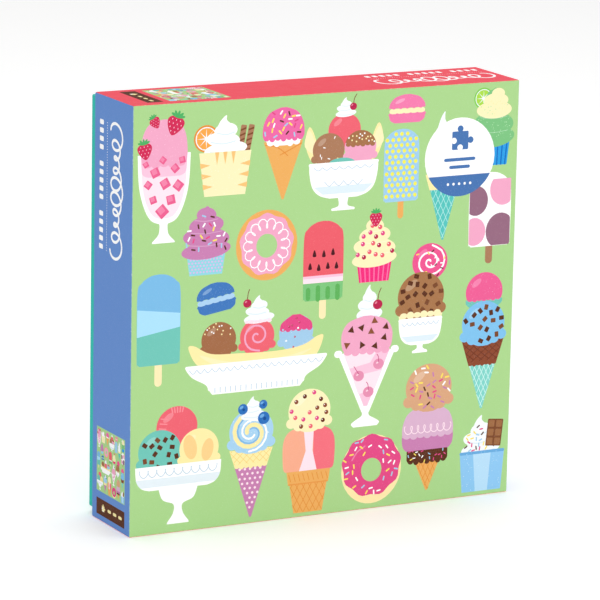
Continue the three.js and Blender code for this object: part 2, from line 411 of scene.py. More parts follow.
# ---------------------------------------------------------------- parts of desserts
def scoop(art, x, y, r, colour, seed, skirt=True):
    """A ball of ice cream on x, y with a frilled lower edge. Returns its outline."""
    if skirt:
        for k in range(6):
            u = (k - 2.5) / 2.5
            art.paint(colour, oval(x + 0.86 * r * u, y - (0.72 - 0.22 * u * u) * r, 0.24 * r, 0.22 * r))
    ball = oval(x, y, r, 0.94 * r)
    art.paint(colour, ball)
    art.paint(blend(colour, WHITE, 0.22), oval(x - 0.42 * r, y + 0.45 * r, 0.3 * r, 0.14 * r, 0.65))
    grain(art, ball, blend(colour, WHITE, 0.12), seed, 22)
    return ball


def cone(art, top, wide, high, colour, lines, pitch=3.0, spots=None):
    """A pointed cone that hangs down from top: plain, or with crossed lines or spots."""
    body = [(-wide / 2, top), (-0.5, top - high), (0.5, top - high), (wide / 2, top)]
    art.paint(colour, body)
    if spots:
        for u, v in grid_inside(body, pitch, 0.5):
            art.paint(spots, oval(u, v, 0.24 * pitch))
    elif lines:
        art.paint(lines, *crossed(body, pitch, 0.35, 0.45))


def collar(art, top, wide, high, colour, lines):
    """The band round the top of a wafer cone."""
    low = top - high
    art.paint(colour, [(-wide / 2, top), (-0.46 * wide, low), (0.46 * wide, low), (wide / 2, top)])
    for k in range(9):
        art.paint(lines, slab((k - 4) * wide / 9.5, top - high / 2, 0.4, 0.6 * high, 0.2, 0.3))


def frill(art, x, y, wide, colour, bumps=6, deep=1.3):
    """A row of drips that hang from a line."""
    for k in range(bumps):
        u = x + (k - (bumps - 1) / 2) * wide / bumps
        art.paint(colour, oval(u, y, 0.56 * wide / bumps, deep * (1 + 0.35 * (k % 2))))


def scallops(art, x, y, wide, bumps, deep=1.4):
    """A festoon of thin loops on a white dish."""
    step = wide / bumps
    for k in range(bumps):
        left = x - wide / 2 + k * step
        art.paint(DISH_LINE, *ribbon([(left, y), (left + step / 2, y - deep), (left + step, y)], 0.35, 3))


def footed_dish(art, top, wide, bowl_high, foot_wide):
    """A white bowl on a short stem."""
    neck = top - bowl_high
    stem = [(0, foot_wide / 2), (1, foot_wide / 2), (2.4, foot_wide / 5), (neck + 1, foot_wide / 4)]
    art.paint(WHITE, turned(stem))
    bowl = [(neck, 0.2 * wide), (neck + 0.1 * bowl_high, 0.35 * wide), (neck + 0.32 * bowl_high, 0.45 * wide),
            (top - 0.3 * bowl_high, 0.495 * wide)]
    art.paint(WHITE, turned(bowl + [(top, 0.5 * wide)]))
    shade = [(neck + 0.12 * bowl_high, 0.3 * wide), (neck + 0.34 * bowl_high, 0.43 * wide)]
    art.paint(ICE, turned(shade, steps=1))
    art.paint(WHITE, slab(0, top - 0.7, 1.02 * wide, 1.6, 0.8))
    scallops(art, 0, top - 2.1, 0.86 * wide, 7)


def ice_pop(art, wide, high, colour, stick):
    """An ice pop's body and its stick. Returns the outline of the body."""
    stick_high = 0.24 * high
    base = 0.8 * stick_high
    body = turned([(base, 0.44 * wide), (base + 1, 0.485 * wide), (base + 2.5, 0.5 * wide),
                   (high - 0.42 * wide, 0.5 * wide), (high - 0.16 * wide, 0.4 * wide),
                   (high - 0.03 * wide, 0.2 * wide), (high, 0.02 * wide)])
    art.paint(stick, slab(0, stick_high / 2, 0.17 * wide, stick_high, 0.08 * wide))
    art.paint(colour, body)
    return body


def clipped(outline, low, high, left=-math.inf, right=math.inf):
    """An outline pushed back into a rectangle."""
    pushed = [(min(max(x, left), right), min(max(y, low), high)) for x, y in outline]
    return [p for k, p in enumerate(pushed) if math.dist(p, pushed[k - 1]) > 1e-6]


def spiral(x, y, start, turn, wide, high, steps):
    """Points that go round x, y in steps of turn. wide and high are its reach at step 0 and the growth
    of that in a step."""
    points = []
    for k in steps:
        a = start + turn * k
        points.append((x + (wide[0] + wide[1] * k) * math.cos(a), y + (high[0] + high[1] * k) * math.sin(a)))
    return points


def looping(reach, y, loops, sway, rise, steps):
    """A pen line that loops on its way from -reach to reach."""
    points = []
    for k in range(steps + 1):
        t = k / steps
        a = math.tau * loops * t
        points.append((reach * (2 * t - 1) - sway * math.sin(a), y + rise * math.cos(a)))
    return points


# ---------------------------------------------------------------- the desserts
def milkshake(art):
    art.paint(WHITE, turned([(0, 5.6), (0.8, 5.6), (4, 2.6), (8, 2.0), (10, 2.6)]))
    glass = [(9, 2.2), (11, 6.5), (17, 10), (27, 12.6), (41.5, 13.4)]
    art.paint(WHITE, turned(glass))
    drink = turned([(11.5, 2), (13, 5.4), (18.5, 8.8), (28, 11), (41.5, 11.7)])
    art.paint(BLUSH, drink)
    art.paint(ROSE, turned([(31, 8), (33, 11.1), (41.5, 11.7)]))
    foam = turned([(37, 11.3), (42, 11.8), (50, 10.9), (55.5, 7.6), (57.5, 1)])
    art.paint(PINK, foam)
    frill(art, 0, 37, 21, PINK, 5, 1.6)
    grain(art, foam, ROSE, 3, 60)
    cubes = ((-4.5, 33, 4.2, 0.4), (5.6, 34.5, 3.6, 0.7), (-8, 27.5, 3.4, 0.9), (0.6, 27.6, 4.4, 0.5),
             (7.3, 26.4, 4.4, 0.9), (-5.4, 20.4, 3.4, 0.3), (3.6, 20, 4.3, 0.2), (-0.8, 14.8, 5.2, 0.7),
             (-9.2, 37, 2.6, 0.5), (9.2, 38.2, 3, 0.2), (-0.6, 38.6, 3, 0.9))
    for u, v, size, turn in cubes:
        art.paint("#e8608f", slab(u, v, size, size, 0.25, turn))
        art.paint("#ef83a8", slab(u - 0.1 * size, v + 0.1 * size, 0.6 * size, 0.6 * size, 0.2, turn))
    strawberry(art, -4.8, 56.4, 0.75, 0.5)
    strawberry(art, 5.4, 54.8, 1.25, -0.35)
    strawberry(art, -9.8, 43.6, 1.05, 0.15)


def orange_tub(art):
    """A flat-bottomed tub with striped sides, whipped cream, a slice of orange and two wafer rolls."""
    citrus(art, -9.8, 27.1, 6.4, TOAST, "#f4a64e")
    for x, turn in ((8.4, -0.16), (12.2, -0.2)):
        roll = Drawing()
        roll.paint(COCOA, slab(0, 0, 3, 14, 0.5))
        roll.paint("#7d4a30", *[slab(0, v, 3.1, 0.8, 0, 0.5) for v in (-5, -2.5, 0, 2.5, 5)])
        art.stamp(roll, x, 25.5, 1, turn)
    cream(art, -0.5, 18.5, 22, 19, WHITE, ICE)
    tub = [(-10.5, 0), (10.5, 0), (13.4, 20.5), (-13.4, 20.5)]
    art.paint(CREAM, tub)
    for side in (-1, 1):
        for level in (4.5, 9.5, 14.5):
            reach = 10.6 + 0.14 * level
            tip = (side * (reach - 5), level)
            art.paint(STRIPE, [(side * reach, level - 1.3), tip, (side * (reach + 0.3), level + 1.3)])
    for k in (-1, 0, 1):
        art.paint(STRIPE, [(4.2 * k - 1.1, 20.5), (4.2 * k + 1.1, 20.5), (4.2 * k, 14.5)])
    grain(art, tub, blend(CREAM, WHITE, 0.5), 7, 50)


def sugar_cone(art):
    cone(art, 27.5, 20.5, 27.5, WAFER, None)
    art.paint(TOAST, *ribbon([(-9.4, 26), (-3, 24.6), (2.4, 20.4)], 0.5, 3))
    art.paint(TOAST, *ribbon([(9.6, 26), (4, 23.4), (-1.6, 21)], 0.5, 3))
    art.paint(WHITE, oval(0, 28.6, 9.6, 3.2))
    frill(art, 0, 27, 17, WHITE, 5, 1.6)
    ball = turned([(28.5, 10), (30.5, 10.9), (36, 10.3), (41, 7.2), (43.3, 1.5)])
    glaze = "#ea6aa5"
    art.paint(glaze, ball)
    frill(art, 0, 29.2, 20.5, glaze, 7, 1.5)
    sprinkles(art, ball, 24, 11, 1.05)


def sundae_bowl(art):
    for side in (-1, 1):
        banana = [(17, 24), (20.6, 33), (18.6, 40.5), (15.6, 36), (13, 25)]
        art.paint(BUTTER, smooth_loop([(side * u, v) for u, v in banana]))
        inner = [(u + 0.2, v - 1.6) for u, v in banana[1:4]] + [(14, 27)]
        art.paint(CREAM, smooth_loop([(side * u, v) for u, v in inner]))
    scoop(art, 0, 38, 8.6, RED, 1275)
    left = scoop(art, -8.2, 29.2, 8.4, COCOA, 1184)
    right = scoop(art, 8.6, 29.6, 8.4, PINK, 1352)
    dip = [p for p in right if p[1] > 30.5]
    art.paint(MOCHA, dip)
    frill(art, 8.6, 31, 15.4, MOCHA, 6, 1.1)
    beads(art, dip, 16, 5, 0.42, (BUTTER, WHITE))
    sprinkles(art, left, 8, 15, 0.6, (WHITE, BUTTER))
    art.paint(SEA, oval(-1, 22.4, 7, 2.6))
    footed_dish(art, 23, 36.5, 17, 12)
    scallops(art, 0, 14, 20, 4, 2.2)
    cream(art, 0.2, 44.5, 11, 9)
    cherry(art, 4.4, 49, 1.9)


def macaron(art, wide, high, colour, filling, seed):
    """Two shells with a filling between, about its middle."""
    lower = ((-0.5, 0.34), (-0.38, 0.47), (-0.14, 0.5))
    upper = ((0.02, 0.5), (0.2, 0.47), (0.4, 0.33), (0.5, 0.08))
    base, shell = (turned([(level * high, half * wide) for level, half in rows]) for rows in (lower, upper))
    art.paint(colour, base, shell)
    art.paint(filling, slab(0, -0.08 * high, 0.98 * wide, 0.18 * high, 0.09 * high))
    for k in range(11):
        u = (k - 5) * 0.092 * wide
        art.paint(colour, oval(u, (0.04 if k % 2 else -0.2) * high, 0.055 * wide, 0.05 * high))
    art.paint(blend(colour, WHITE, 0.3), oval(-0.2 * wide, 0.27 * high, 0.14 * wide, 0.06 * high, 0.35))
    grain(art, shell, blend(colour, WHITE, 0.2), seed, 26)


def blue_macaron(art):
    straight = Drawing()
    macaron(straight, 19.8, 14.2, "#4377ba", "#a9cdec", 0)
    art.stamp(straight, 0, 0, 1, 0.16)


def spotted_pop(art):
    body = ice_pop(art, 18.6, 43, "#9fcbe8", WAFER)
    for u, v in grid_inside(body, 3.1, 0.75):
        art.paint("#f0e95a", oval(u, v, 0.98))


def patched_pop(art):
    ice_pop(art, 22.8, 44.5, WHITE, COCOA)
    patches = ((PINK, 7, 36, 7.2), (MAUVE, -7.8, 31, 6.6), (PINK, -8.4, 16, 6.2), (MAUVE, 6, 15.6, 8))
    for colour, u, v, r in patches:
        art.paint(colour, clipped(oval(u, v, r, 1.1 * r), 8.7, 41, -11.3, 11.3))


def layered_pop(art):
    body = ice_pop(art, 22, 53, SEA, STICK)
    art.paint("#a9dcf6", [(-11, 24), (11, 27.5), (11, 34), (-11, 37)])
    upper = [p for p in body if p[1] > 35] + [(-11, 37), (11, 34)]
    upper.sort(key=lambda p: math.atan2(p[1] - 40, p[0]))
    art.paint("#7ab8e2", upper)


def melon_pop(art):
    body = ice_pop(art, 21, 47, "#e85f6b", STICK)
    art.paint(BLUSH, clipped(body, 17.5, 21))
    art.paint(ROSE, slab(0, 20.4, 21, 1.2))
    art.paint("#7cc27c", clipped(body, 0, 17.5))
    for k in range(4):
        art.paint("#5fae5c", slab(-7.8 + 5.2 * k, 12.4, 2.4, 6.4 + 1.6 * (k % 2), 1.2))
    for u, v in ((-7, 25.4), (-2.4, 24.6), (2.4, 25.2), (7, 25), (-4.8, 31.4), (0.2, 31), (5, 31.6)):
        seed = [(0, 2), (-1, -0.8), (0, -1.4), (1, -0.8)]
        art.paint("#4b2026", smooth_loop([(u + a, v + b) for a, b in seed]))


def cupcake(art, wide, high, frosting, liner, pleats, spots=None):
    """A cupcake. Returns the outline of its frosting."""
    cup_high = 0.42 * high
    cup = [(-0.33 * wide, 0), (0.33 * wide, 0), (0.41 * wide, cup_high), (-0.41 * wide, cup_high)]
    art.paint(liner, cup)
    if spots:
        for u, v in grid_inside(cup, 1.7, 0.35):
            art.paint(spots, oval(u, v, 0.5))
    else:
        for k in range(7):
            u = (k - 3) / 3.5 * wide
            art.paint(pleats, slab_between((0.33 * u, 0), (0.4 * u, cup_high - 1), 0.7))
    tiers = ((0.36, 0.5, 0.13), (0.54, 0.47, 0.15), (0.72, 0.35, 0.14), (0.87, 0.2, 0.11))
    for k, (level, half, deep) in enumerate(tiers):
        lean = (-1) ** k * 0.07
        art.paint(frosting, oval(0, level * high, half * wide, deep * high, lean))
    tip = ((-0.1, 0.9), (0.02, 1), (0.12, 0.88), (0, 0.82))
    art.paint(frosting, smooth_loop([(u * wide, v * high) for u, v in tip]))
    for k, (level, half, deep) in enumerate(tiers[:3]):
        arc = [(half * wide * u, (level + 0.11 - 0.05 * (1 - u * u)) * high) for u in (-0.66, 0, 0.66)]
        art.paint(blend(frosting, WHITE, 0.3), *ribbon(arc, 0.35))
    outside = ((0.34, 0.44), (0.56, 0.45), (0.78, 0.28), (0.92, 0.1))
    return turned([(level * high, half * wide) for level, half in outside])


def lime_cupcake(art):
    citrus(art, -6, 32.6, 5.2, "#7ec850", "#a9d84e")
    top = cupcake(art, 23, 37.5, "#7cc081", "#2f9be0", "#1b6fc0")
    art.paint(CREAM, oval(0, 26.8, 9.6, 4.2), oval(0.8, 31.2, 6.8, 3.6), oval(2, 34.6, 3.6, 2.6))
    grain(art, top, "#cdeec4", 2, 60)
    beads(art, oval(0.4, 27.8, 9, 4), 22, 103, 0.38, (BUTTER, "#cfe5a8"))


def lilac_cupcake(art):
    top = cupcake(art, 25.4, 32.4, PLUM, "#8fd4e0", SKY, "#d7b3e2")
    sprinkles(art, top, 26, 101, 1.05)


def bead_cupcake(art):
    top = cupcake(art, 24, 31, CREAM, "#ee2f7b", "#f772a6")
    beads(art, top, 17, 102, 1.15)
    strawberry(art, 0.4, 30.4, 0.95)


def donut(art, wide, high, dough, glaze, across=0.43, up=0.43, lift=0.01):
    """A ring donut. Returns the outline of its glaze."""
    art.paint(dough, oval(0, 0, wide / 2, high / 2))
    rim = []
    for k in range(44):
        a = math.tau * k / 44
        wave = 0.018 * math.sin(9 * a)
        rim.append(((across + wave) * wide * math.cos(a), (lift + (up + wave) * math.sin(a)) * high))
    art.paint(glaze, rim)
    art.paint(GREEN, oval(0, -0.01 * high, 0.17 * wide, 0.17 * high))
    shine = [(0.36 * wide * math.cos(a), 0.36 * high * math.sin(a)) for a in (1.9, 2.3, 2.7)]
    art.paint(blend(glaze, WHITE, 0.3), *ribbon(shine, 0.7))
    return rim


def piped_donut(art):
    donut(art, 32, 33.5, WAFER, PINK)
    loops = []
    for k in range(141):
        a = math.tau * k / 140
        reach = 9.9 + 2.3 * math.cos(14 * a)
        swing = a + 0.13 * math.sin(14 * a)
        loops.append((reach * math.cos(swing), 1.04 * reach * math.sin(swing)))
    art.paint(WHITE, *ribbon(loops, 0.45, 1))


def sprinkled_donut(art):
    rim = donut(art, 32.5, 34, "#fae6ae", HOT_PINK, 0.485, 0.44, 0.055)
    for u, v, pick in scattered(rim, 60, 2.5, 1.0, 21):
        if math.hypot(u, v) > 7.2:
            art.paint(chosen(SPRINKLES[:4], pick), slab(u, v, 2.4, 0.75, 0.36, pick * 20))


def dish_split(art):
    """Three scoops between two halves of a banana, in a long white dish."""
    places = ((-20, "#a06a49", 540), (0, RED, 740), (20.5, SKY, 945))
    balls = [scoop(art, x, 26, 9, colour, seed) for x, colour, seed in places]
    beads(art, [p for p in balls[0] if p[1] > 27], 14, 8, 0.4, (BUTTER, WHITE))
    art.paint(PINK, *ribbon(spiral(0, 26, 0, 0.62, (0, 0.42), (0, 0.4), range(2, 19)), 0.9, 2))
    art.paint(HOT_PINK, turned([(28, 8.6), (31, 7.6), (34.6, 2)], 20.5))
    frill(art, 20.5, 28, 17, HOT_PINK, 6, 1.2)
    beads(art, balls[2], 12, 9, 0.5, (WHITE, BERRY, SKY))
    cream(art, 0.4, 32.5, 16, 13)
    frill(art, 0.4, 33, 14, BLUSH, 6, 0.7)
    cherry(art, -5.4, 42, 2.2, 0.6)
    banana = [(-35.6, 23), (-30, 14), (-16, 10), (0, 9.2), (16, 10), (30, 13), (35, 22.6),
              (32, 23.4), (24, 19.6), (10, 18), (-10, 18.6), (-24, 19.6), (-32.6, 24)]
    art.paint(BUTTER, smooth_loop(banana))
    inner = [(-30, 19.4), (-16, 15.4), (0, 14.4), (16, 15), (29, 17.6), (18, 13.4), (0, 12), (-18, 12.6)]
    art.paint(CREAM, smooth_loop(inner))
    art.paint(WHITE, [(-23, 0), (23, 0), (25.4, 3), (-25.4, 3)])
    art.paint(WHITE, turned([(2, 25), (5, 26.5), (9, 33.5), (13.4, 37), (14.6, 36.6)]))
    scallops(art, 0, 12.6, 70, 18, 1.9)
    for k in range(17):
        art.paint(DISH_LINE, slab((k - 8) * 2.7, 2, 0.45, 2.8, 0.2))


def cherry_glass(art):
    """A tall glass that narrows to its stem."""
    art.paint(WHITE, turned([(0, 6.4), (1.6, 7.6), (3, 6), (5.4, 2), (8, 2)]))
    art.paint(WHITE, [(-2, 7), (2, 7), (15.4, 36.5), (-15.4, 36.5)])
    art.paint(WHITE, slab(-15.2, 36.6, 4.4, 3.4, 1.7), slab(15.2, 36.6, 4.4, 3.4, 1.7))
    drink = [(-1, 10), (1, 10), (12.6, 37), (-12.6, 37)]
    art.paint(ROSE, drink)
    art.paint(BLUSH, [(-4, 16), (5, 18.4), (8.6, 27), (-7.6, 25)])
    art.paint(BLUSH, [(-9, 29), (2, 31), (6, 37), (-12.6, 37)])
    ball = turned([(36.5, 11), (39, 13.2), (46, 13.6), (51.5, 10), (54, 2)])
    cream(art, 0.6, 52, 14, 17)
    art.paint(PINK, ball)
    frill(art, 0, 37, 24, PINK, 6, 1.6)
    grain(art, ball, ROSE, 12, 50)
    for u, v, pick in scattered(ball, 11, 5, 1.8, 31):
        turns = [pick * 6 + step for step in (0, 2.2, 4.2)]
        corners = [(u + 2.1 * math.cos(a), v + 2.1 * math.sin(a)) for a in turns]
        art.paint(CHOCOLATE if pick < 0.6 else "#8a5236", corners)
    for u, v, lean in ((6.6, 30, 0.4), (-4, 25, -1.2), (1.4, 16.8, 0.3)):
        art.paint("#e38fb0", oval(u, v, 2.9, 2.6))
        stalk = [(u, v + 1), (u - 0.6 + lean, v + 3.6), (u - 1.4 + lean, v + 4.8)]
        art.paint("#c75d8a", *ribbon(stalk, 0.4))
        art.paint("#f6d3e0", oval(u - 0.7, v + 0.6, 0.7, 0.4, 0.5))
    cherry(art, 5.4, 59, 2.6)


def chip_cup(art):
    swirl_ball = scoop(art, 4.4, 44, 9.6, "#e9578f", 1684, False)
    art.paint(WHITE, *ribbon(spiral(4.4, 44, 0, 0.7, (0, 0.44), (0, 0.4), range(1, 21)), 0.9, 2))
    sprinkles(art, swirl_ball, 12, 41, 0.8)
    art.paint(CREAM, turned([(14, 8), (16, 11.2), (21, 12.2)]))
    ball = scoop(art, 0, 27.6, 12.6, "#a5744d", 1624)
    chips(art, ball, 22, 42, 1.4)
    frill(art, 0, 18.6, 22, CREAM, 6, 1.4)
    footed_dish(art, 17, 23.5, 13, 8)


def waffle_cone(art):
    """A tall cone: teal tip, chocolate band and two scoops."""
    cone(art, 22, 14.6, 22, "#7fd0c6", "#c9efe9", 2.3)
    band_shape = [(-7.6, 21.6), (7.6, 21.6), (11.6, 34), (-11.6, 34)]
    art.paint(UMBER, band_shape)
    art.paint(DARK_UMBER, *crossed(band_shape, 2.6, 0.35, 0.9))
    frill(art, 0, 22.6, 15.4, UMBER, 7, 1.2)
    upper = scoop(art, 0, 57.6, 10.2, FUCHSIA, 1971, False)
    art.paint(SEA, turned([(49.6, 7), (52, 9.9), (54, 10)]))
    frill(art, 0, 54.2, 18, FUCHSIA, 7, 1.0)
    ball = scoop(art, 0, 42, 11.8, "#7fbfe9", 1955)
    chips(art, ball, 16, 51, 1.4)
    grain(art, upper, PINK, 52, 30)


def lilac_cone(art):
    cone(art, 15, 14, 15, WAFER, TOAST, 2.4)
    art.paint(CHOCOLATE, slab(0, 17.6, 22.5, 6.4, 1.2))
    frill(art, 0, 15, 21, CHOCOLATE, 7, 1.6)
    sprinkles(art, slab(0, 17.2, 22, 7), 22, 60, 0.7)
    art.paint(PLUM, turned([(20, 11.6), (22.5, 13.6), (28, 14), (34, 12)]))
    upper = turned([(27, 13.8), (32, 13.9), (38, 11.5), (41.5, 6)])
    art.paint(LILAC, upper)
    frill(art, 0, 27.5, 26.5, LILAC, 7, 1.4)
    art.paint(BLUSH, *ribbon(looping(12.4, 30.5, 7, 1.2, 2, 90), 0.4, 1))
    ball = scoop(art, 0, 50.6, 12.6, "#d6a480", 1634)
    sprinkles(art, ball, 34, 61, 1.1, (WHITE, YELLOW, HOT_PINK, PLUM, CHOCOLATE))


def pedestal(art):
    """Three scoops in a wide bowl on a stem."""
    scoop(art, -1, 46.4, 10.6, RED, 290)
    for k in range(5):
        aside = slab(-9.4 + 0.5 * k, 41.5 + 2.3 * k, 4.2, 0.6, 0.3, -0.15)
        art.paint("#f58d97", aside, slab(-3.6 + 1.4 * k, 54.6, 0.7, 3, 0.3, 0.25 - 0.12 * k))
    left = scoop(art, -9.8, 35.4, 11, SEA, 191)
    chips(art, left, 14, 70, 1.35)
    scoop(art, 10.6, 35, 10.2, BUTTER, 395)
    art.paint("#f6cf8d", oval(6, 36, 3.4, 6, 0.2), oval(15, 34, 3, 5.4, -0.2))
    art.paint(WHITE, turned([(0, 5.6), (1, 5.4), (5, 2.6), (9.4, 2.4), (12, 8), (18.4, 10.4)]))
    bowl = turned([(17, 15), (18.4, 19), (22, 21.6), (28.6, 22.2)])
    art.paint(WHITE, bowl)
    art.paint("#e3edf4", clipped(bowl, 18.6, 22.6))
    art.paint(DISH_LINE, *ribbon(looping(20, 25.2, 9, 0.9, 1.7, 150), 0.4, 1))


def berry_cone(art):
    cone(art, 24.6, 17, 24.6, PLUM, None, 2.7, BLUSH)
    upper = [(-8.4, 24.4), (8.4, 24.4), (11.4, 33), (-11.4, 33)]
    art.paint(BUTTER, upper)
    art.paint("#f1d27f", *crossed(upper, 2.4, 0.3, 0.8))
    frill(art, 0, 25.2, 17, BUTTER, 7, 1.2)
    ball = scoop(art, 0, 41.6, 11.6, "#a5cfee", 672)
    for colour, width, start in (("#7bb4e3", 1.2, 0.9), (BUTTER, 2.1, 2.2), (WHITE, 1.0, 4.6)):
        swirl = spiral(0, 41, start, 0.4, (9.8, -0.42), (9.2, -0.4), range(19))
        art.paint(colour, *ribbon(swirl, width, 1))
    cream(art, 0.4, 47.4, 13, 11)
    blueberry(art, -4.6, 52.6, 2.6)
    blueberry(art, 6.4, 47.4, 3.1)
    blueberry(art, 6, 54, 2.2)
    grain(art, ball, WHITE, 71, 20)


def flat_cone(art):
    """Two scoops on a flat-bottomed wafer cup."""
    foot = [(-7.6, 0), (7.6, 0), (10, 14.4), (-10, 14.4)]
    art.paint(WAFER, foot)
    art.paint(TOAST, *crossed(foot, 3.0, 0.35, 0.5))
    collar(art, 20.6, 23.4, 6.6, WAFER, TOAST)
    art.paint("#e6984c", slab(0, 14.2, 21.5, 0.7, 0.3))
    lower = turned([(20.4, 12.4), (23, 13.6), (34, 13.8), (39.4, 11.4), (42, 6)])
    art.paint("#f4ab8e", lower)
    art.paint("#f0717f", [p for p in lower if p[0] > 2] + [(2.4, 42), (2.4, 20.4)])
    art.paint(BLUSH, [(-5, 20.4), (4.4, 20.4), (2, 30), (2.6, 41.8), (-3, 41.8), (-1.6, 30)])
    ball = scoop(art, 0, 49.6, 11.2, CREAM, 985)
    beads(art, ball, 15, 81, 1.1, (HOT_PINK, UMBER, RED, DARK_UMBER))


def bar_tub(art):
    """A blue tub with sprinkled cream and a piece of chocolate."""
    choc = Drawing()
    choc.paint("#7d4c31", slab(0, 0, 8.6, 13.4, 0.5))
    for u in (-2.1, 2.1):
        for v in (-4.4, 0, 4.4):
            choc.paint("#9c6a46", slab(u, v, 3.2, 3.4, 0.4))
    cream(art, -1.6, 18, 21.5, 20)
    sprinkles(art, turned([(19.4, 9), (27, 8), (34, 2.8)], -1.6), 28, 90, 0.95)
    art.stamp(choc, 6.6, 28.6, 1, -0.1)
    tub = [(-10.8, 0), (10.8, 0), (12.4, 20), (-12.4, 20)]
    art.paint("#8ec5ee", tub)
    art.paint("#b7dcf5", [(-3.4, 0), (3.4, 0), (5, 20), (-5, 20)])
    art.paint("#6aa9dc", slab(0, 19.4, 25, 1.5, 0.7))
    grain(art, tub, "#cfe8f8", 91, 50)


def soft_cone(art):
    """A soft-serve cone with a chequered tip, behind the badge."""
    cone(art, 25, 15, 25, "#57c0ba", "#a8e2dc", 2.6)
    art.paint(BUTTER, [(-7.6, 24.4), (7.6, 24.4), (10, 32), (-10, 32)])
    cream(art, -1, 30, 19, 32)


def badge(art, x, y, r):
    """A round badge: a jigsaw-piece sign and plain bars, over a blue segment."""
    art.paint(WHITE, oval(x, y, r))
    lower = [(x + r * math.cos(a), y + r * math.sin(a)) for a in np.linspace(-math.pi + 0.48, -0.48, 22)]
    art.paint(BADGE_BLUE, lower)
    jigsaw_sign(art, x, y + 0.42 * r, 0.36 * r, BADGE_BLUE)
    for k, wide in enumerate((0.9, 0.6)):
        art.paint(BADGE_BLUE, slab(x, y - (0.06 + 0.19 * k) * r, wide * r, 0.085 * r, 0.04 * r))
    for k in range(5):
        art.paint(WHITE, oval(x + (k - 2) * 0.16 * r, y - 0.68 * r, 0.035 * r))


def jigsaw_sign(art, x, y, size, colour):
    """A plain jigsaw piece: a square with two tabs."""
    art.paint(colour, slab(x, y, 1.3 * size, 1.3 * size, 0.08 * size))
    art.paint(colour, oval(x + 0.82 * size, y, 0.24 * size), oval(x, y + 0.82 * size, 0.24 * size))
    art.paint(WHITE, oval(x - 0.5 * size, y, 0.22 * size), oval(x, y - 0.5 * size, 0.22 * size))


MENU = (
    (15.9, 138.5, milkshake),
    (47, 158.5, orange_tub),
    (77, 154.5, sugar_cone),
    (109, 147, sundae_bowl),
    (142.2, 193.2, macaron, 19.6, 13.6, "#ee7bab", CREAM, 142),
    (139.8, 140.6, spotted_pop),
    (163, 128.6, soft_cone),
    (189.6, 162.8, lime_cupcake),
    (188.8, 115, patched_pop),
    (37.8, 121.8, lilac_cupcake),
    (69.2, 133.4, piped_donut),
    (99.2, 95.6, melon_pop),
    (126.4, 111.2, bead_cupcake),
    (152.2, 74.4, chip_cup),
    (14, 71, layered_pop),
    (43.2, 110.6, blue_macaron),
    (187, 43.6, waffle_cone),
    (65, 64.4, dish_split),
    (123.4, 41, cherry_glass),
    (157.8, 6, lilac_cone),
    (25, 4.4, pedestal),
    (62.8, 3.2, berry_cone),
    (93.4, 2.2, flat_cone),
    (127.4, 19.6, sprinkled_donut),
    (188.4, 2.2, bar_tub),
)


def desserts():
    """The picture on the lid and on the puzzle, from 0, 0 at its lower left corner: each dessert about its
    own 0, 0, which goes to its place in the menu."""
    art = Drawing()
    for x, y, dessert, *details in MENU:
        own = Drawing()
        dessert(own, *details)
        art.stamp(own, x, y)
    return art


BADGE_PLACE = (171.4, 168)
BADGE_RADIUS = 19
SIDE_BAND = 31  # width of the side panels' picture and label
SIDE_EDGE = 5.4  # from the lid's rim to that picture
TOP_SHIFT = 6.8  # the print on the top stands this much further along than on the left


def side_art(picture):
    """What is printed on each wall of the lid. x runs from the rim to the front, y along the wall."""
    art = Drawing()
    middle = SIDE_EDGE + SIDE_BAND / 2
    art.paint(CHOCOLATE, slab(middle, 7, SIDE_BAND, 8))
    sign = Drawing()
    jigsaw_sign(sign, 0, 0, 2.1, BUTTER)
    art.stamp(sign, middle - 8, 6.7)
    art.paint(BUTTER, *[slab(middle + 1 + 5.4 * k, 7, 3.8, 1.5, 0.7) for k in (-0.4, 0.7, 1.8)])
    art.paint(GREEN, slab(middle, 14.5 + SIDE_BAND / 2, SIDE_BAND, SIDE_BAND))
    art.stamp(picture, SIDE_EDGE, 14.5, SIDE_BAND / FACE, finest=0.36)
    art.paint(WHITE, *ribbon(flourish(24.6, 160.4, 56.4, 9), 1.35, 1))
    for k in range(49):
        art.paint(WHITE, oval(14.2, 131 + 1.25 * k, 0.27))
    for k in range(16):
        if k not in (5, 11):
            art.paint(WHITE, slab(8.1, 132 + 3.9 * k, 4.2, 2.3, 0.6))
    return art


def back_art(picture, side):
    """What is printed on the tray's back: the finished picture in a frame, and rows of blocks where
    words would be."""
    art = Drawing()
    shown = 0.62 * side
    left, low = (side - shown) / 2, 0.3 * side
    art.paint(WHITE, slab(side / 2, low + shown / 2, shown + 5, shown + 5, 2))
    art.paint(GREEN, slab(side / 2, low + shown / 2, shown, shown))
    art.stamp(picture, left, low, shown / FACE, finest=0.35)
    art.paint(WHITE, slab(side / 2, 0.2 * side, shown + 5, 0.6))
    jigsaw_sign(art, left + 8, 0.12 * side, 12, WHITE)
    draw = random.Random(8)
    for row in range(4):
        x = left + 22.0
        while x < left + shown - 6:
            width = draw.uniform(4, 12)
            art.paint(WHITE, slab(x + width / 2, 0.165 * side - 5.6 * row, width, 1.9, 0.9))
            x += width + 2.2
    for k, colour in enumerate((CORAL, BLUE, GREEN, BUTTER)):
        art.paint(colour, oval(left + shown - 3 - 9 * k, 0.034 * side, 3))
    return art


def flourish(x, middle, length, loops):
    """A looping pen line along y, tall and low by turns."""
    points = []
    for k in range(20 * loops + 1):
        t = k / (20 * loops)
        tall = 4.6 + 2.0 * math.cos(math.tau * 2 * t)
        a = math.tau * loops * t
        points.append((x - tall * math.cos(a), middle + length * (0.5 - t) + 0.75 * tall * math.sin(a)))
    return points


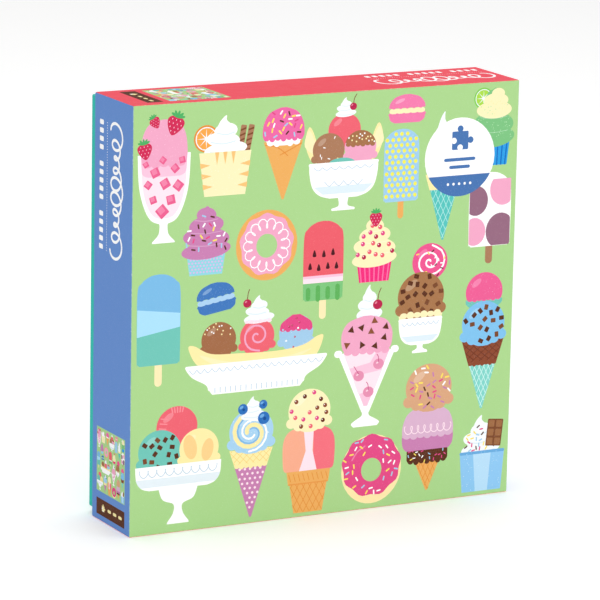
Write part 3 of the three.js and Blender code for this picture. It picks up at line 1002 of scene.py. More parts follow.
# ---------------------------------------------------------------- box wraps
EDGE_RADIUS = 0.8  # the paper's bend round the board's edges
EDGE_STEPS = 4
RIM_RADIUS = 0.7
INNER_CORNER = 0.4  # radius of the corners inside
HALFWAY_BEND = 0.29  # 1 less the cosine of 45 degrees
PAPER = 0.2
LINED_WALL = 2.25  # from the outside to the inside of a wall, turned-in paper included
TURN_IN = 18


class Box:
    """The outside of the lid or the tray, in millimetres. way is the direction from panel to rim along Y."""

    def __init__(self, label, way):
        low, high = in_mm(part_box(f"{label}_wrap"))
        self.label = label
        self.way = way
        self.half = (high.x - low.x) / 2
        self.middle = (low.z + high.z) / 2
        self.panel, self.rim = (low.y, high.y) if way > 0 else (high.y, low.y)
        self.deep = high.y - low.y

    def rounded(self, point, radius):
        """Where a point of the sharp-edged box goes when its edges are rounded, and how far it bends."""
        reach = self.half - radius
        limit = self.panel + self.way * radius
        level = max(point.y, limit) if self.way > 0 else min(point.y, limit)
        core_x = max(-reach, min(reach, point.x))
        core_z = self.middle + max(-reach, min(reach, point.z - self.middle))
        core = Vector((core_x, level, core_z))
        away = (point - core).normalized()
        return core + away * radius, (1 - max(abs(part) for part in away)) / HALFWAY_BEND

    def faces(self):
        """Each wall and the large panel: its corner, its two directions and its size."""
        inward = Vector((0, -self.way, 0))
        walls = {"left": (-1, 0, 0), "top": (0, 0, 1), "right": (1, 0, 0), "bottom": (0, 0, -1)}
        for name, direction in walls.items():
            outward = Vector(direction)
            along = outward.cross(inward)
            corner = Vector((0, self.rim, self.middle)) + (outward - along) * self.half
            yield name, corner, inward, along, (self.deep, 2 * self.half)
        across = Vector((self.way, 0, 0))
        corner = Vector((-self.way * self.half, self.panel, self.middle - self.half))
        yield "panel", corner, across, Vector((0, 0, 1)), (2 * self.half, 2 * self.half)


class Skin:
    """A mesh in millimetres: each face has an ink, and each corner says how worn it is."""

    def __init__(self):
        self.index, self.points, self.wear, self.faces, self.inks = {}, [], [], [], []

    def corner(self, key, point, wear):
        label = tuple(round(part, 3) for part in key)
        if label not in self.index:
            self.index[label] = len(self.points)
            self.points.append(point)
            self.wear.append(wear)
        return self.index[label]

    def face(self, corners, ink):
        self.faces.append(corners)
        self.inks.append(ink)

    def build(self, name, material, even=True):
        mesh = bpy.data.meshes.new(name)
        mesh.from_pydata([tuple(p * MM for p in point) for point in self.points], [], self.faces)
        shades = {ink: linear(ink) for ink in set(self.inks)}
        colours = [shades[ink] for ink, face in zip(self.inks, self.faces) for _ in face]
        ink = mesh.color_attributes.new("ink", "FLOAT_COLOR", "CORNER")
        ink.data.foreach_set("color", np.array(colours, np.float32).ravel())
        wear = mesh.attributes.new("wear", "FLOAT", "POINT")
        wear.data.foreach_set("value", np.array(self.wear, np.float32))
        mesh.materials.append(material)
        return add_object(name, mesh, even)


def add_object(name, data, even=False):
    """A mesh, a camera or a lamp as an object in the scene. even turns all of a mesh's faces outwards."""
    if even:
        work = bmesh.new()
        work.from_mesh(data)
        bmesh.ops.recalc_face_normals(work, faces=work.faces)
        work.to_mesh(data)
        work.free()
    thing = bpy.data.objects.new(name, data)
    bpy.context.collection.objects.link(thing)
    return thing


def settle(piece, body, slot, *nodes):
    """Makes a piece part of a body, in the place of the CAD's nodes, which are hidden. slot is not used."""
    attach(piece, body)
    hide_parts(*nodes)


def fold_lines(low, high, fold_low, fold_high):
    """Where a sheet is cut so that it can bend at its folded edges."""
    offsets = [EDGE_RADIUS * (1 - math.tan(k * math.pi / 4 / EDGE_STEPS)) for k in range(EDGE_STEPS)]
    return [low + d for d in offsets if fold_low] + [high - d for d in offsets if fold_high]


def wrap_profile(box):
    """From the outer edge of the rim, over it, down the inside and back under the paper:
    (distance in from the outside, place along Y, corner radius, whether it is printed, wear)."""
    way, rim = box.way, box.rim
    profile = []
    for k in range(1, 5):
        a = math.pi / 2 * k / 4
        inset, drop = RIM_RADIUS * (1 - math.cos(a)), RIM_RADIUS * (1 - math.sin(a))
        profile.append((inset, rim - way * drop, EDGE_RADIUS, True, 1.0))
    for k in range(4):
        a = math.pi / 2 * k / 3
        inset, drop = LINED_WALL - RIM_RADIUS * (1 - math.sin(a)), RIM_RADIUS * (1 - math.cos(a))
        profile.append((inset, rim - way * drop, INNER_CORNER, True, 0.4 if k else 1.0))
    profile.append((LINED_WALL, rim - way * TURN_IN, INNER_CORNER, True, 0.0))
    profile.append((LINED_WALL - PAPER, rim - way * TURN_IN, INNER_CORNER, False, 0.0))
    profile.append((LINED_WALL - PAPER, rim - way * 2 * PAPER, INNER_CORNER, False, 0.0))
    profile.append((PAPER, rim - way * 2 * PAPER, EDGE_RADIUS - PAPER, False, 0.0))
    bend = EDGE_RADIUS - PAPER
    for k in range(4):
        a = math.pi / 2 * k / 3
        inset = PAPER + bend * (1 - math.cos(a))
        level = box.panel + way * (PAPER + bend * (1 - math.sin(a)))
        profile.append((inset, level, max(bend * math.cos(a), 0.05), False, 0.0))
    return profile


def wall_at(x, z):
    """The name of the wall that is nearest to a point, from the box's middle."""
    if abs(x) > abs(z):
        return "right" if x > 0 else "left"
    return "top" if z > 0 else "bottom"


def wrap(box, arts, inks, material):
    """The printed sheet of a lid or tray: drawings and ground colours by face name."""
    skin = Skin()
    mouth = {}
    for name, corner, across, along, (wide, high) in box.faces():
        is_panel = name == "panel"
        start = 0.0 if is_panel else RIM_RADIUS
        cuts_x = fold_lines(start, wide, is_panel, True)
        cuts_y = fold_lines(0.0, high, True, True)
        art = arts.get(name, Drawing())
        points, triangles, colours = art.triangles((start, 0.0), (wide, high), inks[name], cuts_x, cuts_y)
        spots = []
        for u, v in points:
            sharp = corner + across * u + along * v
            point, bend = box.rounded(sharp, EDGE_RADIUS)
            spots.append(skin.corner(sharp, point, bend))
            if not is_panel and abs(u - start) < 1e-4:
                mouth[spots[-1]] = (sharp.x, sharp.z)
        for triangle, colour in zip(triangles, colours):
            skin.face([spots[k] for k in triangle], colour)
    loop = sorted(mouth, key=lambda k: math.atan2(mouth[k][1] - box.middle, mouth[k][0]))
    ring = [mouth[k] for k in loop]
    for inset, level, radius, printed, wear in wrap_profile(box):
        share = 1 - inset / box.half
        reach = box.half - inset - radius
        outer, loop = loop, []
        for x, z in ring:
            sharp = Vector((x * share, 0, (z - box.middle) * share))
            core = Vector((max(-reach, min(reach, sharp.x)), 0, max(-reach, min(reach, sharp.z))))
            point = core + (sharp - core).normalized() * radius
            point += Vector((0, level, box.middle))
            loop.append(skin.corner(sharp + Vector((0, level, box.middle)), point, wear))
        for k, (x, z) in enumerate(ring):
            after = (k + 1) % len(ring)
            here = Vector((x + ring[after][0], z + ring[after][1] - 2 * box.middle))
            ink = inks[wall_at(*here)] if printed else INNER_PAPER
            skin.face([outer[k], outer[after], loop[after], loop[k]], ink)
    skin.face(loop, INNER_PAPER)
    piece = skin.build(f"{box.label}_wrap_printed", material)
    settle(piece, box.label, f"{box.label}_print", f"{box.label}_wrap")


# ---------------------------------------------------------------- materials
PURE_WHITE = (1, 1, 1, 1)
WEAR_SHARE = 0.5  # how much of the ink is gone where an edge is rubbed


class Shader:
    """A material and its nodes. Inputs are given by name, as a value or as another node's output."""

    def __init__(self, name, **settings):
        self.material = bpy.data.materials.new(name)
        self.material.use_nodes = True
        self.tree = self.material.node_tree
        self.surface = self.tree.nodes["Principled BSDF"]
        self.place = self.tree.nodes.new("ShaderNodeTexCoord").outputs["Object"]
        self.set(self.surface, settings)

    def set(self, node, inputs):
        for key, value in inputs.items():
            socket = node.inputs[key.replace("_", " ") if isinstance(key, str) else key]
            if isinstance(value, bpy.types.NodeSocket):
                self.tree.links.new(value, socket)
            else:
                socket.default_value = value

    def node(self, kind, inputs=None, **properties):
        node = self.tree.nodes.new(f"ShaderNode{kind}")
        for key, value in properties.items():
            setattr(node, key, value)
        self.set(node, inputs or {})
        return node

    def noise(self, size, detail=3.0, roughness=0.6, stretch=(1, 1, 1)):
        """Noise from 0 to 1 with features of that size in millimetres."""
        place = self.node("Mapping", {"Vector": self.place, "Scale": stretch}).outputs[0]
        inputs = {"Vector": place, "Scale": 1 / (size * MM), "Detail": detail, "Roughness": roughness}
        return self.node("TexNoise", inputs).outputs[0]

    def ramp(self, value, low, high, start=0.0, end=1.0):
        """value from low to high, spread from start to end."""
        inputs = {0: value, 1: low, 2: high, 3: start, 4: end}
        return self.node("MapRange", inputs, clamp=True).outputs[0]

    def maths(self, operation, first, second):
        return self.node("Math", {0: first, 1: second}, operation=operation).outputs[0]

    def mix(self, share, first, second, blend_type="MIX"):
        """One colour mixed into another."""
        node = self.node("Mix", data_type="RGBA", blend_type=blend_type)
        self.set(node, {0: share, 6: first, 7: second})
        return node.outputs[2]

    def patches(self, under, over, size, low, high, most, detail=2.0, blend_type="MIX"):
        """A colour over another, in patches of that size: none where the noise is low, most where high."""
        share = self.ramp(self.noise(size, detail), low, high, 0.0, most)
        return self.mix(share, under, over, blend_type)

    def bump(self, height, depth, after=None):
        """A bump of that depth in millimetres."""
        inputs = {"Height": height, "Distance": depth * MM, "Strength": 1.0}
        if after:
            inputs["Normal"] = after
        return self.node("Bump", inputs).outputs[0]


def printed_paper(name, roughness=0.5):
    """Ink on laminated paper: fine speckle in the ink, rubbed edges and a slightly uneven film."""
    look = Shader(name, IOR=1.45, Specular_IOR_Level=0.03)
    ink = look.node("Attribute", attribute_name="ink").outputs["Color"]
    wear = look.node("Attribute", attribute_name="wear").outputs["Fac"]
    colour = look.patches(ink, PURE_WHITE, size=0.35, low=0.62, high=0.76, most=0.16)
    colour = look.patches(colour, (0.25, 0.22, 0.2, 1), size=0.5, low=0.66, high=0.8, most=0.1, detail=3.0)
    cloud = (0.9, 0.88, 0.84, 1)
    colour = look.patches(colour, cloud, size=26.0, low=0.3, high=0.7, most=0.05, blend_type="MULTIPLY")
    scuff = look.ramp(look.noise(1.6, 6.0, 0.75), 0.5, 0.68)
    rubbed = look.maths("MULTIPLY", look.maths("MULTIPLY", wear, scuff), WEAR_SHARE)
    colour = look.mix(rubbed, colour, linear("#f4f1ea"))
    fibre = look.noise(0.45, 4.0)
    board = look.noise(9.0, 2.0, 0.5)
    rough = look.ramp(look.noise(5.0, 5.0), 0.3, 0.7, roughness - 0.05, roughness + 0.07)
    normal = look.bump(fibre, 0.012, look.bump(board, 0.06))
    look.set(look.surface, {"Base Color": colour, "Roughness": rough, "Normal": normal})
    return look.material


def greyboard():
    """Grey-brown recycled board with short fibres and flecks."""
    look = Shader("greyboard", Roughness=0.92, Specular_IOR_Level=0.25)
    fibres = look.noise(0.9, 5.0, 0.7, (1, 1, 0.35))
    tone = look.mix(look.ramp(fibres, 0.35, 0.65), linear("#a99f8e"), linear("#bdb5a6"))
    tone = look.patches(tone, linear("#6f665a"), size=0.7, low=0.68, high=0.74, most=0.55)
    tone = look.patches(tone, linear("#b3aa98"), size=30.0, low=0.3, high=0.7, most=0.35, detail=3.0)
    look.set(look.surface, {"Base Color": tone, "Normal": look.bump(fibres, 0.05)})
    return look.material


def kraft():
    """Brown gummed paper tape with long fibres."""
    look = Shader("kraft_tape", Roughness=0.8, Specular_IOR_Level=0.3)
    fibres = look.noise(0.8, 4.0, 0.7, (1, 0.2, 1))
    tone = look.mix(look.ramp(fibres, 0.3, 0.7), linear("#a77c4c"), linear("#c49a68"))
    tone = look.patches(tone, linear("#7d5a35"), size=0.5, low=0.7, high=0.76, most=0.5)
    look.set(look.surface, {"Base Color": tone, "Normal": look.bump(fibres, 0.03)})
    return look.material


def clear_film():
    """Thin clear plastic: mostly see-through, with a soft haze and fine wrinkles."""
    gloss = {"Specular_IOR_Level": 1.0, "Coat_Weight": 1.0, "Coat_Roughness": 0.05}
    look = Shader("clear_film", Alpha=0.24, IOR=1.5, **gloss)
    tone = look.patches(linear("#e4edf3"), PURE_WHITE, size=12.0, low=0.3, high=0.7, most=1.0, detail=4.0)
    rough = look.ramp(look.noise(7.0, 3.0), 0.3, 0.7, 0.06, 0.2)
    wrinkles = look.bump(look.noise(2.2, 3.0, 0.6), 0.08, look.bump(look.noise(9.0, 3.0, 0.5), 0.35))
    look.set(look.surface, {"Base Color": tone, "Roughness": rough, "Normal": wrinkles})
    return look.material


# ---------------------------------------------------------------- puzzle pieces
PUZZLE_SIZE = 508  # the finished picture
COLUMNS = 25
ROWS = 20
PIECE_WIDTH = PUZZLE_SIZE / COLUMNS
PIECE_HEIGHT = PUZZLE_SIZE / ROWS
PIECE_THICKNESS = 1.8
TAB = 2
TAB_PLAY = 0.7
CURVE_STEPS = (5, 7, 5)
PRESSED_EDGE = 0.22  # how far the die rounds the edge of the printed side

FRONT_ROWS = 5  # the loose pieces against the front of the bag
FRONT_COLUMNS = 4
FRONT_PITCH = 37.5
FRONT_LAYER = 5.6
FRONT_TILT = math.radians(3.5)
TILT_SEED = 9000
TURN_SEED = 9100

HEAP_GROUPS = 5  # the heap is this many objects
GROUP_LAYERS = 3
PRESSED_LAYERS = 2  # the layers near enough to the front for a pressed edge to show
HEAP_MARGIN = 2.2  # from the heap's box to the pieces, where the bag is round
HEAP_BACK = 0.6  # from the bag's back to the last layer
HEAP_BIN = 0.5  # width of the columns that pieces are dropped in
HEAP_GAP = 0.25
SIDE_SAMPLES = 60  # places on each side of an outline, enough for one in every column
HEAP_TRIES = 6
FLIPPED_SHARE = 0.4  # of the heap's pieces


def scatter(index):
    """A repeatable number from -1 to 1 for each whole number."""
    wave = math.sin(index * 12.9898 + 4.1414) * 43758.5453
    return 2 * (wave - math.floor(wave)) - 1


def bezier(stops, steps):
    """Points on a cubic curve, its end left out."""
    a, b, c, d = (Vector(stop) for stop in stops)
    shares = [k / steps for k in range(steps)]
    return [a * (1 - t) ** 3 + b * 3 * t * (1 - t) ** 2 + c * 3 * t * t * (1 - t) + d * t**3 for t in shares]


def cut_line(length, seed):
    """The die's cut between two neighbours: from 0, 0 to length, 0 with one tab between."""
    slip, lean, lift, first, last, side = (scatter(7 * seed + k) for k in range(1, 7))
    middle = length / 2 + slip * TAB_PLAY
    bend = lean * TAB_PLAY
    rise = lift * TAB_PLAY
    stops = [(0, 0), (0.2 * length, first * TAB_PLAY), (middle + bend, rise - TAB),
             (middle - TAB, rise + TAB), (middle - 2 * TAB - bend, rise + 3 * TAB),
             (middle + 2 * TAB - bend, rise + 3 * TAB), (middle + TAB, rise + TAB),
             (middle + bend, rise - TAB), (0.8 * length, last * TAB_PLAY), (length, 0)]
    stops = [(along, math.copysign(1, side) * out) for along, out in stops]
    line = [point for k, steps in enumerate(CURVE_STEPS) for point in bezier(stops[3 * k : 3 * k + 4], steps)]
    return line + [Vector(stops[-1])]


def side_line(length, seed, is_cut):
    """A side of a piece: cut by the die, or straight where the picture ends."""
    return cut_line(length, seed) if is_cut else [Vector((0, 0)), Vector((length, 0))]


def lower_line(column, row):
    """The lower side of a piece, from left to right."""
    line = side_line(PIECE_WIDTH, column + row * COLUMNS, 0 < row < ROWS)
    return [p + Vector((column * PIECE_WIDTH, row * PIECE_HEIGHT)) for p in line]


def left_line(column, row):
    """The left side of a piece, from its lower end."""
    line = side_line(PIECE_HEIGHT, column + (row + ROWS) * COLUMNS, 0 < column < COLUMNS)
    return [Vector((column * PIECE_WIDTH - p.y, row * PIECE_HEIGHT + p.x)) for p in line]


def piece_outline(column, row):
    """A piece's outline where it lies in the picture. Neighbours share their sides."""
    lines = (lower_line(column, row), left_line(column + 1, row),
             lower_line(column, row + 1)[::-1], left_line(column, row)[::-1])
    return [tuple(p) for line in lines for p in line[:-1]]


def piece_centre(column, row):
    return Vector(((column + 0.5) * PIECE_WIDTH, (row + 0.5) * PIECE_HEIGHT))


def cut_picture(picture):
    """The printed side of every piece by column and row: its points about its middle, triangles and inks."""
    whole = Drawing()
    whole.stamp(picture, 0, 0, PUZZLE_SIZE / FACE, finest=0.45)
    printed = len(whole.shapes) + 1
    cells = [(column, row) for row in range(ROWS) for column in range(COLUMNS)]
    for cell in cells:
        whole.paint(cell, piece_outline(*cell))
    points, triangles, sources = whole.cut((0, 0), (PUZZLE_SIZE, PUZZLE_SIZE), GREEN)
    colours = [GREEN] + [colour for colour, _ in whole.shapes]
    parts = {cell: ([], {}, [], []) for cell in cells}
    for triangle, found in zip(triangles, sources):
        piece = [k for k in found if k >= printed]
        if not piece:
            continue
        spots, index, faces, inks = parts[colours[piece[0]]]
        for k in triangle:
            if k not in index:
                index[k] = len(spots)
                spots.append(Vector(points[k]) - piece_centre(*colours[piece[0]]))
        faces.append([index[k] for k in triangle])
        inks.append(colours[max(k for k in found if k < printed)])
    return {cell: (spots, faces, inks) for cell, (spots, index, faces, inks) in parts.items()}


def rim_of(faces):
    """The corners round the outside of a set of triangles, in order."""
    sides = {(face[k], face[(k + 1) % 3]) for face in faces for k in range(3)}
    after = {a: b for a, b in sides if (b, a) not in sides}
    loop = [min(after)]
    while after[loop[-1]] != loop[0]:
        loop.append(after[loop[-1]])
    return loop


def add_piece(skin, part, place, pressed=True):
    """One piece with its printed side towards -Y of its own place, a matrix in millimetres."""
    spots, faces, inks = part
    loop = rim_of(faces)
    top, bottom = -PIECE_THICKNESS / 2, PIECE_THICKNESS / 2
    inner = {}
    for k, corner in enumerate(loop):
        before, after = spots[loop[k - 1]], spots[loop[(k + 1) % len(loop)]]
        along = (after - before).normalized()
        inner[corner] = spots[corner] + Vector((-along.y, along.x)) * (PRESSED_EDGE if pressed else 0)

    def corner(spot, level, wear):
        skin.points.append(place @ Vector((spot.x, level, spot.y)))
        skin.wear.append(wear)
        return len(skin.points) - 1

    face_up = [corner(inner.get(k, spot), top, 1.0 if k in inner else 0.0) for k, spot in enumerate(spots)]
    for face, ink in zip(faces, inks):
        skin.face([face_up[k] for k in face], ink)
    rings = [[face_up[k] for k in loop]]
    if pressed:
        rings.append([corner(spots[k], top + PRESSED_EDGE, 0.6) for k in loop])
    rings.append([corner(spots[k], bottom, 0.0) for k in loop])
    for ring, after in zip(rings, rings[1:]):
        for k in range(len(loop)):
            skin.face([ring[k], after[k], after[k - 1], ring[k - 1]], CARD_EDGE)
    skin.face(rings[-1][::-1], CARD_BACK)


def front_pieces(parts, material):
    """The loose pieces where the CAD has them, each a piece of its own. Gives their places in the picture."""
    used = []
    for index in range(FRONT_ROWS * FRONT_COLUMNS):
        row = index // FRONT_COLUMNS
        step = index % FRONT_COLUMNS - (FRONT_COLUMNS - 1) / 2 + (0.25 if row % 2 else -0.25)
        level = (row - (FRONT_ROWS - 1) / 2) * math.sin(math.pi / 3)
        tilt = Matrix.Rotation(FRONT_TILT * scatter(TILT_SEED + index), 4, "X")
        turn = Matrix.Rotation(math.pi * scatter(TURN_SEED + index), 4, "Y")
        spot = Matrix.Translation((step * FRONT_PITCH, FRONT_LAYER / 2, level * FRONT_PITCH))
        name = f"puzzle_piece_{index + 1:02d}"
        used.append(((7 * index + 3) % COLUMNS, (11 * index + 5) % ROWS))
        skin = Skin()
        add_piece(skin, parts[used[-1]], bag_plane(1.0) @ spot @ tilt @ turn)
        settle(skin.build(f"{name}_printed", material, False), "contents", "puzzle_card", name)
    return used


def reach_of(outline):
    """How low and how high an outline reaches in each narrow column, from its left end."""
    corners = np.array(outline)
    ends = np.roll(corners, -1, axis=0)
    shares = np.linspace(0, 1, SIDE_SAMPLES)[:, None, None]
    along = (corners + (ends - corners) * shares).reshape(-1, 2)
    left = along[:, 0].min()
    column = ((along[:, 0] - left) / HEAP_BIN).astype(int)
    low = np.full(column.max() + 1, np.inf)
    high = np.full(column.max() + 1, -np.inf)
    np.minimum.at(low, column, along[:, 1])
    np.maximum.at(high, column, along[:, 1])
    return left, low, high


def heap_layer(pool, draw, wide, tall):
    """Drops pieces from the pool, each turned at random, onto each other until no more fit.
    Gives each piece's cell, turn, side and place, and takes it out of the pool."""
    ground = np.zeros(int(wide / HEAP_BIN))
    lying = []
    misses = 0
    while pool and misses < HEAP_TRIES:
        cell = pool.pop(0)
        turn, flipped = draw.uniform(0, math.tau), draw.random() < FLIPPED_SHARE
        centre = piece_centre(*cell)
        matrix = Matrix.Rotation(turn, 2) @ Matrix.Diagonal((-1 if flipped else 1, 1))
        left, low, high = reach_of([matrix @ (Vector(point) - centre) for point in piece_outline(*cell)])
        windows = np.lib.stride_tricks.sliding_window_view(ground, len(low))
        rests = (windows - low).max(axis=1) + HEAP_GAP
        start = int(np.argmin(rests))
        level = float(rests[start])
        if level + high.max() > tall:
            pool.append(cell)
            misses += 1
            continue
        here = ground[start:start + len(low)]
        np.maximum(here, high + level, out=here)
        lying.append((cell, turn, flipped, start * HEAP_BIN - left - wide / 2, level - tall / 2))
    return lying


def heap_of_pieces(parts, used, material):
    """All the other pieces, in layers from the front of the heap to its back."""
    draw = random.Random(41)
    pool = [cell for cell in parts if cell not in used]
    draw.shuffle(pool)
    low, high = in_mm(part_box("piece_heap"))
    wide, tall = high.x - low.x - 2 * HEAP_MARGIN, high.z - low.z - 2 * HEAP_MARGIN
    nearest = 1 - FRONT_LAYER / BAG_MEAN_DEPTH
    farthest = HEAP_BACK / BAG_MEAN_DEPTH
    for group in range(HEAP_GROUPS):
        skin = Skin()
        for layer in range(group * GROUP_LAYERS, (group + 1) * GROUP_LAYERS):
            share = nearest - (nearest - farthest) * (layer + 0.5) / (HEAP_GROUPS * GROUP_LAYERS)
            for cell, turn, flipped, x, z in heap_layer(pool, draw, wide, tall):
                place = bag_plane(share) @ Matrix.Translation((x, 0, z)) @ Matrix.Rotation(-turn, 4, "Y")
                if flipped:
                    place = place @ Matrix.Rotation(math.pi, 4, "Z")
                add_piece(skin, parts[cell], place, layer < PRESSED_LAYERS)
        heap = skin.build(f"heap_pieces_{group + 1}", material, False)
        settle(heap, "contents", "puzzle_card", "piece_heap")
    if pool:
        raise ValueError(f"{len(pool)} pieces don't fit in the heap")


# ---------------------------------------------------------------- bag and leaflet
BAG_BOTTOM_DEPTH = 38
BAG_TOP_DEPTH = 34
BAG_MEAN_DEPTH = (BAG_BOTTOM_DEPTH + BAG_TOP_DEPTH) / 2
BAG_ROUND = 6
BAG_MESH = 2.3  # size of the film's faces
SEAL_HEIGHT = 5
SEAL_RIB = 1.25  # the seal's ribs are this far apart
RIB_DEPTH = 0.16
SEAL_WAVE = 0.5  # how far the seals sway
SEAL_OVERLAP = 0.4
SEAL_KEY = 1000  # keeps the seals' corners apart from the film's
VENT_RADIUS = 3
VENT_BELOW_TOP = 16
FILM = 0.08
CREASE_SHARPNESS = 3.2
BULGE_SIZE = 17.0  # about how far it is from one raised crease to the next
SLACK_SIZE = 23.0  # the same for the furrows
SLACK = 0.45  # how deep those are
LEAFLET_MARGIN = 4  # round the leaflet, where the film is held down too
BULGE_IN_FRONT = 1.3  # how far a crease stands out
BULGE_UNDER_LEAFLET = 0.25
BULGE_ASIDE = 1.1
BULGE_BEHIND = 0.12


@cache
def bag_size():
    """The bag's width, its height without the seals, and the place of its middle."""
    low, high = in_mm(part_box("piece_bag"))
    return high.x - low.x, high.z - low.z - 2 * SEAL_HEIGHT, Vector((0, high.y, (low.z + high.z) / 2))


@cache
def bag_plane(share):
    """A matrix to the plane at that share of the bag's depth: 0 is its back and 1 its leaning front."""
    _, tall, middle = bag_size()
    lean = math.atan2((BAG_BOTTOM_DEPTH - BAG_TOP_DEPTH) * share, tall)
    place = Matrix.Translation(middle - Vector((0, BAG_MEAN_DEPTH * share, 0)))
    return place @ Matrix.Rotation(-lean, 4, "X")


def crease(x, y, z, size):
    """From 0 on flat film to 1 on a sharp crease."""
    spot = Vector((x, y, z)) / size
    coarse = 1 - abs(noise.noise(spot)) * CREASE_SHARPNESS
    fine = 1 - abs(noise.noise(spot * 2.3 + Vector((7.1, 3.3, 5.7)))) * CREASE_SHARPNESS
    return max(0.0, coarse) ** 2 * 0.65 + max(0.0, fine) ** 2 * 0.35


def film_place(x, y, z, leaflet):
    """Where a point of the bag's sharp-edged box goes. The film bulges less where something lies on it."""
    wide, tall, middle = bag_size()
    half = Vector((wide / 2, BAG_BOTTOM_DEPTH / 2, tall / 2))
    core = Vector([max(BAG_ROUND - h, min(h - BAG_ROUND, part)) for part, h in zip((x, y, z), half)])
    away = (Vector((x, y, z)) - core).normalized()
    point = core + away * BAG_ROUND
    low, high = leaflet
    beside = low.x - LEAFLET_MARGIN < point.x < high.x + LEAFLET_MARGIN
    under = beside and point.z + middle.z < high.z + LEAFLET_MARGIN + 1
    if away.y > 0.5:
        reach = BULGE_BEHIND
    elif abs(away.y) < 0.7:
        reach = BULGE_ASIDE
    else:
        reach = BULGE_UNDER_LEAFLET if under else BULGE_IN_FRONT
    furrow = SLACK * crease(*(point + half), SLACK_SIZE) if away.y < 0.5 else 0.0
    point += away * (reach * crease(*point, BULGE_SIZE) - furrow)
    level = point.z / tall + 0.5
    lost = level * (BAG_BOTTOM_DEPTH - BAG_TOP_DEPTH)
    forward = (BAG_BOTTOM_DEPTH / 2 - point.y) * (1 - lost / BAG_BOTTOM_DEPTH)
    return Vector((point.x, middle.y - forward, point.z + middle.z))


def film_panel(skin, cuts, axis, end, leaflet):
    """One of the bag's six sides, in small squares. The front one has the air hole. leaflet is the
    box of the leaflet, which lies on the film."""
    first, second = [k for k in range(3) if k != axis]
    is_front = axis == 1 and end < 0
    vent = Vector((0, cuts[2][-1] - VENT_BELOW_TOP))
    grid = {}
    for i, u in enumerate(cuts[first]):
        for j, v in enumerate(cuts[second]):
            gap = Vector((u, v)) - vent
            if is_front and gap.length < VENT_RADIUS * 0.8:
                continue
            moved_to = (u, v)
            if is_front and gap.length < VENT_RADIUS + 0.6 * BAG_MESH:
                moved_to = vent + gap.normalized() * VENT_RADIUS
            sharp = [0.0, 0.0, 0.0]
            sharp[axis], sharp[first], sharp[second] = end, *moved_to
            grid[i, j] = skin.corner(sharp, film_place(*sharp, leaflet), 0.0)
    for i in range(len(cuts[first]) - 1):
        for j in range(len(cuts[second]) - 1):
            corners = [(i, j), (i + 1, j), (i + 1, j + 1), (i, j + 1)]
            if all(corner in grid for corner in corners):
                skin.face([grid[corner] for corner in corners], ICE)


def film_bag(material):
    """The closed bag of clear film, with a crimped seal at each end and a punched air hole."""
    wide, tall, _ = bag_size()
    size = (wide, BAG_BOTTOM_DEPTH, tall)
    cuts = [[s * (k / round(s / BAG_MESH) - 0.5) for k in range(round(s / BAG_MESH) + 1)] for s in size]
    leaflet = in_mm(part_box("leaflet"))
    skin = Skin()
    for axis in range(3):
        for end in (cuts[axis][0], cuts[axis][-1]):
            film_panel(skin, cuts, axis, end, leaflet)
    for end in (-1, 1):
        add_seal(skin, cuts[0], end)
    bag = skin.build("piece_bag_film", material)
    thicken = bag.modifiers.new("film", "SOLIDIFY")
    thicken.thickness = FILM * MM
    thicken.offset = -1
    settle(bag, "contents", "bag_film", "piece_bag")


def add_seal(skin, across, end):
    """A crimped strip at the bag's top, or at its bottom where end is -1."""
    _, tall, middle = bag_size()
    ribs = round(SEAL_HEIGHT / SEAL_RIB * 4)
    rows = []
    for j in range(ribs + 1):
        out = SEAL_HEIGHT * j / ribs
        rib = RIB_DEPTH * math.sin(math.tau * out / SEAL_RIB)
        row = []
        for x in across:
            wave = SEAL_WAVE * math.sin(x / 9.0) * (1 if end > 0 else 0.3) * (0.4 + out / SEAL_HEIGHT)
            y = middle.y - BAG_TOP_DEPTH / 2 + rib + wave
            z = middle.z + end * (tall / 2 - SEAL_OVERLAP + out)
            row.append(skin.corner((end * SEAL_KEY + x, out, 0), Vector((x, y, z)), 0.0))
        rows.append(row)
    for row, after in zip(rows, rows[1:]):
        for k in range(len(across) - 1):
            skin.face([row[k], row[k + 1], after[k + 1], after[k]], ICE)


SHEET = 0.3
LEAF_BEND = 0.15  # radius of the fold, at the middle of the sheet
LEAF_OPENING = 1
LEAF_CURL = 2.2  # how far the front leaf's top corner stands forward
CURL_FROM = 1.25  # the curl starts where the shares of the width and the height add up to this
CURL_SPAN = 0.56  # about the square of what is left from there to the corner, where they add up to 2
LEAF_FACES = 12
FOLD_FACES = 6
COVER_BAND = 22
COVER_PICTURE = 88
COVER_PICTURE_LOW = 29


def leaflet_art(picture, wide, tall, spine):
    """The leaflet's outside, laid flat: back cover, fold and front cover, with blocks where words
    would be."""
    art = Drawing()
    front = wide + spine
    title = tall - COVER_BAND / 2
    art.paint(TEAL, slab(front + wide / 2, title, wide, COVER_BAND))
    jigsaw_sign(art, front + 16, title, 11, WHITE)
    art.paint(WHITE, *[slab(front + 44 + 17 * k, title, 14, 4.4, 1.4) for k in range(3)])
    shown = COVER_PICTURE
    art.paint(GREEN, slab(front + wide / 2, COVER_PICTURE_LOW + shown / 2, shown, shown))
    art.stamp(picture, front + wide / 2 - shown / 2, COVER_PICTURE_LOW, shown / FACE, finest=0.4)
    for row in range(3):
        words = [(14, 9), (28, 13), (46, 17), (63, 11), (80, 16)]
        art.paint(PRINT_GREY, *[slab(front + x + 3 * row, 21 - 5.2 * row, w, 1.7, 0.8) for x, w in words])
    for row in range(17):
        draw = random.Random(row)
        x = 10.0
        while x < wide - 12:
            w = draw.uniform(4, 14)
            if row % 6 != 5:
                art.paint(PRINT_GREY, slab(x + w / 2, tall - 20 - 6.4 * row, w, 1.5, 0.7))
            x += w + 1.8
    for k, colour in enumerate((CORAL, BLUE, GREEN, TEAL)):
        art.paint(colour, oval(22 + 20 * k, 16, 6))
    return art


